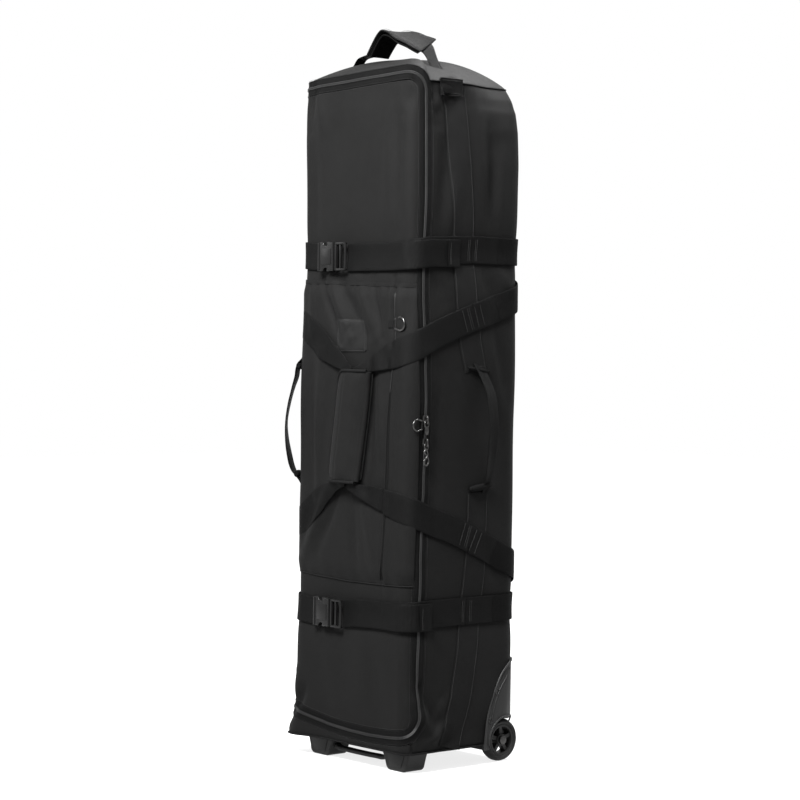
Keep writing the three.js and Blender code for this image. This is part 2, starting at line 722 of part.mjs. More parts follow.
function hub() {
  const outer = HUB_RADIUS - GAP;
  const half = WHEEL_WIDTH / 2 - 3;
  const rim = barX(outer, -half, half, 0, 0, 56).subtract(barX(outer - 4, -half - 1, half + 1, 0, 0, 56));
  const boss = barX(BOSS_RADIUS, -half, half, 0, 0, 32);
  const spokes = [];
  const length = outer - BOSS_RADIUS + 1;
  for (let i = 0; i < SPOKES; i++) {
    const spoke = new THREE.BoxGeometry(WHEEL_WIDTH / 2, SPOKE_WIDTH, length);
    spoke.translate(0, 0, BOSS_RADIUS - 3 + length / 2).rotateX((i * 2 * Math.PI) / SPOKES);
    spokes.push(solid(spoke));
  }
  return joined([rim, boss, ...spokes]).subtract(barX(AXLE_RADIUS + GAP, -30, 30, 0, 0, 24));
}

function axle() {
  const end = WHEEL_X + WHEEL_WIDTH / 2;
  const headFrom = end - 3 + GAP;
  const shank = barX(AXLE_RADIUS, HOUSING_INNER + 2, end, WHEEL_Y, WHEEL_RADIUS, 24);
  return shank.add(barX(AXLE_HEAD, headFrom, headFrom + 4, WHEEL_Y, WHEEL_RADIUS, 24));
}

for (const [side, hand] of [["right", 1], ["left", -1]]) {
  const turned = (body) => (hand > 0 ? body : body.mirror([1, 0, 0]));
  place("wheel_housing_" + side, turned(housing()), mattePlastic());
  place("housing_screw_upper_" + side, turned(screw(SCREWS[0])), gunmetal());
  place("housing_screw_lower_" + side, turned(screw(SCREWS[1])), gunmetal());
  place("axle_" + side, turned(axle()), gunmetal());
  const at = [WHEEL_X, WHEEL_Y, WHEEL_RADIUS];
  place("wheel_tyre_" + side, turned(tyre().translate(at)), rubber());
  place("wheel_hub_" + side, turned(hub().translate(at)), mattePlastic());
}

// ---- Front feet and the grab bar between them ----
const FOOT_FRONT = -116;
const FOOT_BACK = -74;
const BAR_END = 75.4;
const BAR_LOW = 14;
const BAR_HIGH = 22;
const BAR_FRONT = -112;
const BAR_BACK = -98;

function foot() {
  const outline = [
    [70, BOTTOM - GAP],
    [84, 3],
    [90, 0],
    [130, 0],
    [136, 3],
    [144, BOTTOM - GAP],
  ];
  return extrudeY(outline, FOOT_FRONT, FOOT_BACK);
}
place("foot_right", foot(), mattePlastic());
place("foot_left", foot().mirror([1, 0, 0]), mattePlastic());
place("grab_bar", block(-BAR_END, BAR_END, BAR_FRONT, BAR_BACK, BAR_LOW, BAR_HIGH), mattePlastic());

// ---- Zip sliders with pulls, and the two D-rings ----
const [zipX, zipY] = onSkin(ZIP, 0);
const ZIP_RING_Z = 632;
const POCKET_RING_X = 116;
const POCKET_RING_Z = 812;

function slider(z) {
  const plate = block(zipX + 2.4, zipX + 5, zipY - 6, zipY + 6, z - 8, z + 8);
  const bridge = block(zipX + 4, zipX + 9.4, zipY - 1.6, zipY + 1.6, z - 6, z + 6);
  const eye = block(zipX + 5, zipX + 7.8, zipY - 3, zipY + 3, z - 4.4, z + 4);
  return plate.add(bridge).subtract(eye);
}

// A pull that hangs from a slider's bridge.
function pull(z, length) {
  const near = zipX + 5.6;
  const far = zipX + 7.2;
  const top = block(near, far, zipY - 5, zipY + 5, z - 3.6, z - 1.8);
  const sides = [-5, 3.2].map((y) => block(near, far, zipY + y, zipY + y + 1.8, z - 12, z - 1.8));
  const tongue = block(near - 0.3, far + 0.3, zipY - 5, zipY + 5, z - length, z - 11);
  return joined([top, ...sides, tongue]);
}
place("zip_slider_upper", slider(SLIDER_UP), gunmetal());
place("zip_slider_lower", slider(SLIDER_DOWN), gunmetal());
place("zip_pull_upper", pull(SLIDER_UP, 26), gunmetal());
place("zip_pull_lower", pull(SLIDER_DOWN, 40), gunmetal());

// A D-ring lying in the YZ plane, its straight bar at y = 0 and its bow towards -Y.
function dRing(reach, half, wire) {
  const shape = new THREE.Shape();
  shape.moveTo(0, -half).lineTo(0, half).lineTo(-reach + half, half);
  shape.absarc(-reach + half, 0, half, Math.PI / 2, (3 * Math.PI) / 2, false);
  shape.lineTo(0, -half);
  const hole = new THREE.Path();
  const inner = half - wire;
  hole.moveTo(-wire, -inner).lineTo(-reach + half, -inner);
  hole.absarc(-reach + half, 0, inner, (3 * Math.PI) / 2, Math.PI / 2, true);
  hole.lineTo(-wire, inner).lineTo(-wire, -inner);
  shape.holes.push(hole);
  const flat = new THREE.ExtrudeGeometry(shape, { depth: wire, bevelEnabled: false, curveSegments: 12 });
  const turn = new THREE.Matrix4().set(0, 0, 1, 0, 1, 0, 0, 0, 0, 1, 0, 0, 0, 0, 0, 1);
  return solid(flat.applyMatrix4(turn));
}

const RING_LIFT = 2.6;
const ZIP_TAB_HALF = 8;
const zipTabEnd = ZIP - TAPE + 1;
const zipRingTab = wall(
  zipTabEnd - 13, zipTabEnd, ZIP_RING_Z - ZIP_TAB_HALF, ZIP_RING_Z + ZIP_TAB_HALF, 0.7, 2.2,
);
place("zip_ring_tab", zipRingTab, webbing());
const ring = dRing(22, 11, 2.6);
place("zip_ring", ring.translate([zipX + RING_LIFT, zipY - 7, ZIP_RING_Z]), gunmetal());

const pocketRing = dRing(22, 10, 2.4).rotate([0, 0, 90]);
const pocketRingY = -DEPTH / 2 - POCKET_LIFT - 4.6;
place("pocket_ring", pocketRing.translate([POCKET_RING_X, pocketRingY, POCKET_RING_Z]), gunmetal());
const pocketTab = wall(
  POCKET_RING_X - 6, POCKET_RING_X + 4,
  POCKET_RING_Z - 7, POCKET_RING_Z + 7,
  POCKET_LIFT + GAP, POCKET_LIFT + 1.8,
);
place("pocket_ring_tab", pocketTab, webbing());

// ---- Origin in the middle of the footprint, on the floor ----
const bounds = new THREE.Box3().setFromObject(group);
const centre = bounds.getCenter(new THREE.Vector3());
group.position.set(-centre.x, -centre.y, -bounds.min.z);

export default group;
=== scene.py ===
"""Soft golf travel case: the looks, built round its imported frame.

Sizes are millimetres in the case's own frame: X across, -Y the front, Z up from the floor.
Round the case, s runs along the skin from the middle of the front, to the right above zero.
"""

import math

import bmesh
import bpy
import numpy as np
from mathutils import Matrix, Vector


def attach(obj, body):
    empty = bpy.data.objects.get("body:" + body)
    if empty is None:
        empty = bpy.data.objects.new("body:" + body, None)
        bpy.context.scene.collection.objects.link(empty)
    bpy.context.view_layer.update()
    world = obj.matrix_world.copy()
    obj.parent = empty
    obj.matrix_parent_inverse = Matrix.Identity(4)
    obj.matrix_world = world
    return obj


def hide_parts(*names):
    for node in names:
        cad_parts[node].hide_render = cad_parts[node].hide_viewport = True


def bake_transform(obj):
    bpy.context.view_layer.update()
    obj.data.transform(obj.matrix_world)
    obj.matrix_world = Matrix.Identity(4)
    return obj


bl_info = {
    "name": "Golf travel case",
    "version": (1, 0, 0),
    "blender": (4, 5, 0),
    "location": "3D View > Sidebar > Travel Case",
    "description": "Builds a soft golf travel case round its packed frame",
    "category": "Object",
}

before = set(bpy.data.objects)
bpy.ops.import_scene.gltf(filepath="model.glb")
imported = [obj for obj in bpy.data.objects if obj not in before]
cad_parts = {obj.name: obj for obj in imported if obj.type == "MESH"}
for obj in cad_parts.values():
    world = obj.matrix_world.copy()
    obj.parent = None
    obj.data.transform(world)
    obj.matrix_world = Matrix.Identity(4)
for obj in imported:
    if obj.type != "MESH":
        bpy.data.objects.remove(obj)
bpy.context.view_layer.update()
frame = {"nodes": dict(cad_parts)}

MM = 0.001
MM_PER_METRE = 1000.0
Y_SHIFT = 7.5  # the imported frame's origin is in the middle of the footprint

# Outline of the case
WIDTH = 320.0
DEPTH = 278.0
FRONT_RADIUS = 26.0
BACK_RADIUS = 42.0
SIDE_TOP = 1250.0
CREST = 1304.0
WALL = 3.2

FRONT_FLAT = WIDTH / 2 - FRONT_RADIUS
SIDE_START = FRONT_FLAT + FRONT_RADIUS * math.pi / 2
SIDE_END = SIDE_START + DEPTH - FRONT_RADIUS - BACK_RADIUS
BACK_START = SIDE_END + BACK_RADIUS * math.pi / 2
BACK_MIDDLE = BACK_START + WIDTH / 2 - BACK_RADIUS

# Zip round the door
ZIP_CORNER = 35.0
TAPE = 10.0
PIPING = 1.5


def side_at(y):
    """Distance round the skin of a point on the flat of a side wall."""
    return SIDE_START + y + DEPTH / 2 - FRONT_RADIUS


ZIP = side_at(-108.0)
BACK_SEAM = BACK_START - 12.0

# ---- Number helpers ----


def bell(x, middle, reach):
    """A smooth bump of height 1."""
    return np.exp(-(((x - middle) / reach) ** 2))


def ramp(x, low, high):
    """0 below low, 1 above high, smooth between."""
    t = np.clip((x - low) / (high - low), 0.0, 1.0)
    return t * t * (3 - 2 * t)


def line(x, knots):
    """Value read off a table of (position, value) knots."""
    at, value = zip(*sorted(knots))
    return np.interp(x, at, value)


def spread(low, high, step, fine=True):
    """Stations from low to high, closer together near both ends."""
    count = max(2, int(round(abs(high - low) / step)) + 1)
    t = np.linspace(0.0, 1.0, count)
    if not fine:
        return low + (high - low) * t
    near = np.array([0.8, 2.0, 4.0]) / abs(high - low)
    t = np.unique(np.concatenate([t, near[near < 0.5], 1 - near[near < 0.5]]).round(6))
    return low + (high - low) * t


# ---- The soft skin of the case ----
# Each fold runs from (s, z) to (s, z), with its half width and its height; below zero it is a valley.
FOLDS = (
    (-126, 1240, -134, 1180, 9, -4.0),
    (-112, 1244, -100, 1190, 12, 2.5),
    (118, 1190, 112, 1000, 16, -3.6),
    (100, 1230, 92, 980, 20, 2.6),
    (-122, 1150, -118, 980, 14, -3.0),
    (197, 1190, 192, 990, 14, 3.0),
    (226, 1160, 214, 990, 15, -3.0),
    (300, 1200, 322, 960, 18, 3.4),
    (330, 1190, 345, 980, 14, -3.6),
    (186, 730, 190, 540, 16, 3.2),
    (214, 700, 206, 470, 15, -3.0),
    (192, 380, 186, 160, 15, 3.2),
    (176, 120, 206, 70, 14, 6.0),
    (186, 150, 224, 84, 9, -4.0),
    (170, 240, 178, 140, 10, -2.8),
    (192, 1232, 204, 1180, 9, -5.0),
    (206, 1226, 196, 1196, 10, 4.5),
    (214, 1238, 232, 1206, 10, -4.0),
    (150, 1238, 138, 1196, 12, -3.0),
    (120, 1246, 128, 1190, 14, 2.5),
    (-60, 884, -8, 800, 11, 5.6),
    (-84, 884, -36, 792, 9, -5.4),
    (-118, 882, -112, 790, 12, 3.0),
    (-30, 884, 34, 804, 12, -4.8),
    (20, 884, 62, 800, 11, 4.4),
    (60, 884, 84, 800, 8, -4.4),
    (112, 884, 114, 790, 5, -6.5),
    (128, 884, 128, 820, 8, 3.5),
    (150, 884, 146, 800, 9, -2.5),
    (84, 720, 92, 560, 13, 4.6),
    (66, 720, 58, 540, 11, -5.6),
    (108, 694, 92, 345, 3.2, -2.6),
    (116, 694, 101, 345, 7, 2.2),
    (-84, 730, -96, 520, 12, 4.4),
    (-112, 735, -110, 480, 12, -4.2),
    (-60, 500, -118, 400, 12, 4.6),
    (-28, 500, -84, 400, 11, -4.6),
    (40, 505, 70, 380, 12, 2.6),
    (12, 500, 20, 360, 11, -2.2),
    (-120, 470, -140, 390, 10, -2.8),
    (198, 905, 216, 860, 13, -2.2),
    (330, 900, 352, 850, 13, -3.2),
    (350, 930, 384, 884, 13, 3.0),
    (230, 980, 246, 1090, 20, 2.6),
    (320, 985, 340, 1120, 18, -2.8),
    (350, 985, 366, 1150, 16, 2.6),
    (330, 790, 360, 700, 16, 2.8),
    (352, 800, 384, 690, 12, -2.8),
    (340, 400, 372, 330, 14, -2.6),
    (206, 58, 240, 84, 10, 6.0),
    (190, 76, 226, 128, 9, -3.4),
    (200, 96, 240, 130, 12, 3.2),
    (236, 46, 262, 60, 9, -3.0),
    (-150, 74, -128, 120, 9, -6.0),
    (-142, 96, -146, 150, 8, 3.4),
    (-96, 1240, -100, 1150, 18, 2.0),
    (-30, 1240, -60, 1120, 24, -1.8),
    (40, 1236, 30, 1010, 26, 1.8),
    (-60, 236, -40, 120, 24, 1.8),
    (60, 240, 80, 110, 22, -1.8),
)


FOLD_DEPTH = 1.35


def folds(s, z):
    """Puckers and creases pressed into the cloth."""
    total = np.zeros(np.broadcast(s, z).shape)
    for s0, z0, s1, z1, reach, height in FOLDS:
        run = (s1 - s0) ** 2 + (z1 - z0) ** 2
        t = np.clip(((s - s0) * (s1 - s0) + (z - z0) * (z1 - z0)) / run, -0.15, 1.15)
        off = (s - s0 - t * (s1 - s0)) ** 2 + (z - z0 - t * (z1 - z0)) ** 2
        fade = 1 - 0.6 * np.clip(np.abs(t - 0.5) * 2, 0, 1) ** 2
        total = total + height * fade * np.exp(-off / reach**2)
    return FOLD_DEPTH * total


def ripple(s, z):
    """Slow unevenness of a soft wall."""
    return (
        0.9 * np.sin(s / 41.0 + 1.3) * np.sin(z / 67.0 + 0.4)
        + 0.6 * np.sin(s / 23.0 - z / 89.0 + 2.1)
        + 0.5 * np.sin(s / 31.0 + z / 37.0)
    )


def strap_hold(z):
    """1 under the two tight straps, 0 away from them."""
    return np.clip(bell(z, 940.0, 42.0) + bell(z, 285.0, 42.0), 0, 1)


SHOULDER = ((1110, 0.0), (1170, 2.0), (1205, 5.5), (1228, 12.0), (1252, 25.0))
BELLY = ((36, 11.0), (90, 10.0), (160, 8.5), (250, 6.5), (330, 4.0), (430, 1.5), (510, 0.0))


def swell(s, z):
    """How far the soft walls stand out of the plain outline."""
    d = np.abs(s)
    front = 4.0 * np.clip(1 - (d / 158.0) ** 2, 0, 1)
    side = 5.0 * np.sin(np.pi * np.clip((d - 186.0) / (BACK_SEAM - 186.0), 0, 1))
    back = 3.0 * np.clip(1 - ((BACK_MIDDLE - d) / 118.0) ** 2, 0, 1)
    room = ramp(z, 60.0, 130.0) * (1 - ramp(z, 1190.0, 1250.0))
    tight = 1 - 0.85 * strap_hold(z)
    crown = (front + side + back) * room * tight
    loose = (ripple(s, z) * (0.35 + 0.65 * room) + folds(s, z)) * (1 - 0.75 * strap_hold(z))
    shoulder = line(z, SHOULDER) * ramp(d, side_at(-30.0), side_at(70.0))
    belly = line(z, BELLY) * bell(s, -158.0, 60.0)
    return crown + loose - 2.2 * strap_hold(z) - shoulder + belly


def lean(s, z):
    """Sideways drift of the soft body, and the flare of its lower left corner."""
    drift = line(
        z,
        (
            (36, 0.0), (160, 0.0), (420, -1.0), (640, -2.5), (800, 0.0), (1100, 0.0), (1215, -2.0),
            (1262, 1.0), (1320, 1.0),
        ),
    )
    flare = 15.0 * bell(s, -158.0, 40.0) * (1 - ramp(z, 38.0, 112.0))
    return drift, flare


def outline(s, lift):
    """Plan of the case: x and y of a point at that distance round it."""
    hand = np.where(s < 0, -1.0, 1.0)
    d = np.abs(s)
    fa = np.clip((d - FRONT_FLAT) / FRONT_RADIUS, 0, math.pi / 2)
    ba = np.clip((d - SIDE_END) / BACK_RADIUS, 0, math.pi / 2)
    fr, br = FRONT_RADIUS + lift, BACK_RADIUS + lift
    x = np.where(d <= FRONT_FLAT, d, FRONT_FLAT + fr * np.sin(fa))
    y = np.where(d <= FRONT_FLAT, -DEPTH / 2 - lift, -DEPTH / 2 + FRONT_RADIUS - fr * np.cos(fa))
    on_side = d > SIDE_START
    x = np.where(on_side, WIDTH / 2 + lift, x)
    y = np.where(on_side, -DEPTH / 2 + FRONT_RADIUS + d - SIDE_START, y)
    on_arc = d > SIDE_END
    x = np.where(on_arc, WIDTH / 2 - BACK_RADIUS + br * np.cos(ba), x)
    y = np.where(on_arc, DEPTH / 2 - BACK_RADIUS + br * np.sin(ba), y)
    on_back = d > BACK_START
    x = np.where(on_back, WIDTH / 2 - BACK_RADIUS - (d - BACK_START), x)
    y = np.where(on_back, DEPTH / 2 + lift, y)
    return hand * x, y


def skin(s, z, lift=0.0):
    """Points on the soft skin, that far off it."""
    s, z, lift = np.broadcast_arrays(*(np.asarray(v, float) for v in (s, z, lift)))
    drift, flare = lean(s, z)
    x, y = outline(s, lift + swell(s, z))
    spread_x = flare * np.clip(-x / 160.0, 0, 1)
    spread_y = -0.25 * flare
    return np.stack([x + drift - spread_x, y + spread_y, z - 0.12 * flare], axis=-1)


# ---- The zip's line, as distances round the skin and heights ----
ZIP_SIDE = (
    (100, -4.0), (137, -6.0), (227, -6.0), (389, -3.0), (497, 1.5), (677, 2.5), (856, -5.0), (1035, -3.0),
    (1170, -4.0), (1228, -5.0),
)
ZIP_FOOT = ((-172, 92), (-142, 84), (-100, 74), (-56, 67), (0, 63.5), (59, 62), (110, 64), (140, 67))
ZIP_HEAD = ((-172, 1246), (-142, 1251), (-100, 1254), (12, 1259), (117, 1263), (140, 1264))
ZIP_LEFT = -168.0


def zip_line(outwards=0.0, step=4.0):
    """The zip's course moved outwards from the door: arrays of s and z."""
    r = ZIP_CORNER
    low_z, high_z = 67.0 + r, 1264.0 - r
    foot_s = np.arange(ZIP_LEFT, ZIP - r - 4, step)
    foot = np.stack([foot_s, line(foot_s, ZIP_FOOT)], 1)
    turn = np.linspace(-math.pi / 2, 0, 12)[1:]
    low_centre = (ZIP - 4 - r, low_z)
    low = np.stack([low_centre[0] + r * np.cos(turn), low_centre[1] + r * np.sin(turn)], 1)
    up_z = np.arange(low_z + step, high_z - 1, step)
    up = np.stack([ZIP + line(up_z, ZIP_SIDE), up_z], 1)
    high_centre = (ZIP - 5 - r, high_z)
    turn = np.linspace(0, math.pi / 2, 12)
    high = np.stack([high_centre[0] + r * np.cos(turn), high_centre[1] + r * np.sin(turn)], 1)
    head_s = np.arange(ZIP - 5 - r - step, ZIP_LEFT - 1, -step)
    head = np.stack([head_s, line(head_s, ZIP_HEAD)], 1)
    path = np.concatenate([foot, low, up, high, head])
    for _ in range(4):
        path[1:-1] = (path[:-2] + 2 * path[1:-1] + path[2:]) / 4
    along = np.gradient(path, axis=0)
    along /= np.linalg.norm(along, axis=1, keepdims=True)
    out = np.stack([along[:, 1], -along[:, 0]], 1)
    moved = path + out * outwards
    return moved[:, 0], moved[:, 1]


def zip_bounds(outwards):
    """Reads the moved zip line as a right edge: s for a height, and heights for an s."""
    s, z = zip_line(outwards, 3.0)
    right = s > 100.0
    order = np.argsort(z[right])
    s_right, z_right = s[right][order], z[right][order]
    top = z > 660
    top_order = np.argsort(s[top])
    foot_order = np.argsort(s[~top])
    return (
        lambda at_z: np.interp(at_z, z_right, s_right),
        lambda at_s: np.interp(at_s, s[top][top_order], z[top][top_order]),
        lambda at_s: np.interp(at_s, s[~top][foot_order], z[~top][foot_order]),
    )


def rim_height(s):
    """Height of the seam round the top of the case."""
    s = np.asarray(s, float)
    front = line(s, ((-185, 1250), (-172, 1256), (-142, 1264), (12, 1272), (117, 1276), (140, 1277)))
    r = ZIP_CORNER + TAPE + 2
    centre_s, centre_z = ZIP - 5 - ZIP_CORNER, 1264.0 - ZIP_CORNER
    arc = centre_z + np.sqrt(np.clip(r**2 - (s - centre_s) ** 2, 0, None))
    right = np.where(s > centre_s, np.maximum(arc, SIDE_TOP), front)
    return np.where(s < -185, SIDE_TOP, right)


# ---- Mesh building ----


class Bench:
    """Gathers the parts of one mesh, then makes the object."""

    def __init__(self):
        self.points = []
        self.faces = []
        self.marks = []
        self.maps = []
        self.count = 0

    def add(self, points, faces, maps=None, mark=0):
        """Adds points and faces, with a flat map in metres for each point."""
        points = np.asarray(points, float).reshape(-1, 3)
        if maps is None:
            maps = np.stack([points[:, 0] + points[:, 1], points[:, 2]], 1) * MM
        self.points.append(points)
        self.maps.append(np.asarray(maps, float).reshape(-1, 2))
        self.faces += [tuple(int(i) + self.count for i in face) for face in faces]
        self.marks += [mark] * len(faces)
        self.count += len(points)
        return self

    def panel(self, outer, inner, maps, mark_out=0, mark_in=0):
        """A closed sheet between two grids of points."""
        rows, cols = outer.shape[:2]
        index = np.arange(rows * cols).reshape(rows, cols)
        a, b = index[:-1, :-1].ravel(), index[:-1, 1:].ravel()
        c, d = index[1:, 1:].ravel(), index[1:, :-1].ravel()
        n = rows * cols
        front = list(zip(a, b, c, d))
        back = [(p + n, s + n, r + n, q + n) for p, q, r, s in front]
        rim = np.concatenate([index[0, :-1], index[:-1, -1], index[-1, :0:-1], index[:0:-1, 0]])
        edge = [(i, i + n, j + n, j) for i, j in zip(rim, np.roll(rim, -1))]
        flat = np.concatenate([maps.reshape(-1, 2), maps.reshape(-1, 2)])
        start = self.count
        self.add(np.concatenate([outer.reshape(-1, 3), inner.reshape(-1, 3)]), front, flat, mark_out)
        self.faces += [tuple(int(i) + start for i in face) for face in back]
        self.marks += [mark_in] * len(back)
        self.faces += [tuple(int(i) + start for i in face) for face in edge]
        self.marks += [mark_out] * len(edge)
        return self

    def tube(self, path, radius, sides=8, closed=False, mark=0, flat=1.0):
        """A round cord along a path; flat squeezes it across."""
        path = np.asarray(path, float)
        radius = np.broadcast_to(np.asarray(radius, float), (len(path),))
        along = np.gradient(path, axis=0)
        if closed:
            along = np.roll(path, -1, 0) - np.roll(path, 1, 0)
        along /= np.maximum(np.linalg.norm(along, axis=1, keepdims=True), 1e-9)
        guide = np.array([0.0, 0.0, 1.0]) if abs(along[0][2]) < 0.9 else np.array([1.0, 0.0, 0.0])
        rings = []
        across = np.cross(along[0], guide)
        turn = np.arange(sides) * 2 * math.pi / sides
        for i, centre in enumerate(path):
            across = across - along[i] * (across @ along[i])
            across /= max(np.linalg.norm(across), 1e-9)
            other = np.cross(along[i], across)
            rings.append(
                centre
                + radius[i] * (np.outer(np.cos(turn), across) + flat * np.outer(np.sin(turn), other))
            )
        points = np.concatenate(rings)
        faces = []
        count = len(path)
        for i in range(count if closed else count - 1):
            j = (i + 1) % count
            for k in range(sides):
                m = (k + 1) % sides
                faces.append((i * sides + k, i * sides + m, j * sides + m, j * sides + k))
        if not closed:
            faces.append(tuple(range(sides))[::-1])
            faces.append(tuple((count - 1) * sides + k for k in range(sides)))
        run = np.concatenate([[0.0], np.cumsum(np.linalg.norm(np.diff(path, axis=0), axis=1))])
        maps = np.stack([np.repeat(run, sides), np.tile(turn * radius.mean(), count)], 1) * MM
        return self.add(points, faces, maps, mark)

    def prism(self, shape, low, high, axis, bevel=1.0, segments=2, mark=0):
        """An outline given thickness along an axis, with softened edges."""
        mesh = bmesh.new()
        order = {"x": (2, 0, 1), "y": (0, 2, 1), "z": (0, 1, 2)}[axis]
        ends = []
        for level in (low, high):
            triples = [(p[0], p[1], level) for p in shape]
            ends.append([mesh.verts.new([t[order[0]], t[order[1]], t[order[2]]]) for t in triples])
        count = len(shape)
        mesh.faces.new(ends[0])
        mesh.faces.new(ends[1][::-1])
        for i in range(count):
            j = (i + 1) % count
            mesh.faces.new((ends[0][i], ends[1][i], ends[1][j], ends[0][j]))
        bmesh.ops.recalc_face_normals(mesh, faces=mesh.faces)
        if bevel:
            sharp = [e for e in mesh.edges if e.calc_face_angle(0) > 0.5]
            bmesh.ops.bevel(
                mesh, geom=sharp, offset=bevel, segments=segments, profile=0.6, affect="EDGES",
                clamp_overlap=True,
            )
        return self.take(mesh, mark)

    def box(self, x, y, z, bevel=1.0, mark=0):
        """A block between pairs of limits, with softened edges."""
        corners = [(x[0], z[0]), (x[1], z[0]), (x[1], z[1]), (x[0], z[1])]
        return self.prism(corners, y[0], y[1], "y", bevel, 2, mark)

    def take(self, mesh, mark=0):
        """Takes over what a bmesh holds."""
        mesh.verts.ensure_lookup_table()
        points = [tuple(v.co) for v in mesh.verts]
        faces = [tuple(v.index for v in f.verts) for f in mesh.faces]
        mesh.free()
        return self.add(points, faces, None, mark)

    def make(self, name, looks, smooth=True):
        """The finished object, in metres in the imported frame."""
        points = np.concatenate(self.points)
        points = (points + np.array([0.0, Y_SHIFT, 0.0])) * MM
        data = bpy.data.meshes.new(name)
        data.from_pydata(points.tolist(), [], self.faces)
        looks = looks if isinstance(looks, (list, tuple)) else [looks]
        for look in looks:
            data.materials.append(look)
        data.polygons.foreach_set("material_index", self.marks)
        layer = data.uv_layers.new(name="flat")
        maps = np.concatenate(self.maps)
        loops = np.zeros(len(data.loops), np.int32)
        data.loops.foreach_get("vertex_index", loops)
        layer.data.foreach_set("uv", maps[loops].astype(np.float32).ravel())
        mesh = bmesh.new()
        mesh.from_mesh(data)
        bmesh.ops.recalc_face_normals(mesh, faces=mesh.faces)
        mesh.to_mesh(data)
        mesh.free()
        if smooth:
            data.polygons.foreach_set("use_smooth", [True] * len(data.polygons))
            data.set_sharp_from_angle(angle=math.radians(38))
        made = bpy.data.objects.new(name, data)
        bpy.context.collection.objects.link(made)
        return made


def hemmed(rows, cols, depth=2.2, reach=3.5):
    """How far a panel's border is pulled down into its seams, for its stations in mm."""
    near_r = np.minimum(rows - rows.min(), rows.max() - rows)
    near_c = np.minimum(cols - cols.min(), cols.max() - cols)
    pull = np.maximum.outer(np.exp(-near_r / reach), np.exp(-near_c / reach))
    return -depth * pull


def add_panel(bench, s, z, lift=0.0, thick=WALL, hem=2.0, marks=(0, 0)):
    """A cloth panel over grids of s and z, its border pulled into the seams."""
    rows = np.linalg.norm(np.diff(np.stack([s, z], -1), axis=0), axis=-1).mean(1)
    cols = np.linalg.norm(np.diff(np.stack([s, z], -1), axis=1), axis=-1).mean(0)
    rows = np.concatenate([[0.0], np.cumsum(rows)])
    cols = np.concatenate([[0.0], np.cumsum(cols)])
    outer = skin(s, z, lift + hemmed(rows, cols, hem))
    inner = skin(s, z, lift - thick)
    return bench.panel(outer, inner, np.stack([s, z], -1) * MM, *marks)


def add_web(bench, s, z, width, lift, thick=1.7, mark=0, cross=7, sag=0.0, on=skin):
    """Webbing laid along a line of s and z."""
    s, z = np.asarray(s, float), np.asarray(z, float)
    width = np.broadcast_to(np.asarray(width, float), s.shape)
    lift = np.broadcast_to(np.asarray(lift, float), s.shape)
    along = np.stack([np.gradient(s), np.gradient(z)], 1)
    along /= np.linalg.norm(along, axis=1, keepdims=True)
    out = np.stack([-along[:, 1], along[:, 0]], 1)
    w = np.array([-0.5, -0.485, -0.44, *np.linspace(-0.36, 0.36, cross), 0.44, 0.485, 0.5])
    edge = np.array([0.75, 0.3, 0.06, *np.zeros(cross), 0.06, 0.3, 0.75]) * thick / 2
    gs = s[:, None] + out[:, 0:1] * width[:, None] * w
    gz = z[:, None] + out[:, 1:2] * width[:, None] * w
    bow = sag * (0.25 - w**2) * 4
    run = np.concatenate([[0.0], np.cumsum(np.hypot(np.diff(s), np.diff(z)))])
    maps = np.stack([np.broadcast_to(run[:, None], gs.shape), width[:, None] * w], -1) * MM
    outer = on(gs, gz, lift[:, None] + thick - edge + bow)
    inner = on(gs, gz, lift[:, None] + edge + bow)
    return bench.panel(outer, inner, maps, mark, mark)


def smooth_path(knots, step=4.0):
    """Rows of numbers, smoothly filled in between knots, measured along the first two."""
    knots = np.asarray(knots, float)
    run = np.concatenate([[0.0], np.cumsum(np.hypot(*np.diff(knots[:, :2], axis=0).T))])
    count = max(4, int(run[-1] / step))
    at = np.linspace(0, run[-1], count)
    slope = np.gradient(knots, run, axis=0)
    out = []
    for t in at:
        i = min(max(np.searchsorted(run, t) - 1, 0), len(run) - 2)
        h = run[i + 1] - run[i]
        u = (t - run[i]) / h
        out.append(
            (2 * u**3 - 3 * u**2 + 1) * knots[i]
            + (u**3 - 2 * u**2 + u) * h * slope[i]
            + (3 * u**2 - 2 * u**3) * knots[i + 1]
            + (u**3 - u**2) * h * slope[i + 1]
        )
    return np.array(out)


def add_stitches(bench, points, pitch=3.6, length=2.5, thick=0.42, mark=0):
    """Thread stitches along a line of points lying just on the cloth."""
    points = np.asarray(points, float)
    run = np.concatenate([[0.0], np.cumsum(np.linalg.norm(np.diff(points, axis=0), axis=1))])
    starts = np.arange(pitch / 2, run[-1] - length, pitch)
    for start in starts:
        at = np.array([start, start + length / 2, start + length])
        path = np.stack([np.interp(at, run, points[:, k]) for k in range(3)], 1)
        bench.tube(path, np.array([0.7, 1.0, 0.7]) * thick, sides=5, mark=mark)
    return bench


def settle(made, body, slot, *nodes):
    """Puts a finished piece on its body and hides the frame nodes it stands for; slot, naming its finish,
    is not used.
    """
    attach(made, body)
    if nodes:
        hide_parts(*nodes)
    return made


def settle_bent(made, a, b, start, end, slot, *nodes):
    """Bakes a piece's place into its mesh and hides the frame nodes it stands for; start and end are in mm,
    and the two bodies a and b and the slot are not used.
    """
    place = [Vector((p[0] * MM, (p[1] + Y_SHIFT) * MM, p[2] * MM)) for p in (start, end)]
    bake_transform(made)
    if nodes:
        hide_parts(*nodes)
    return made


# ---- Materials ----


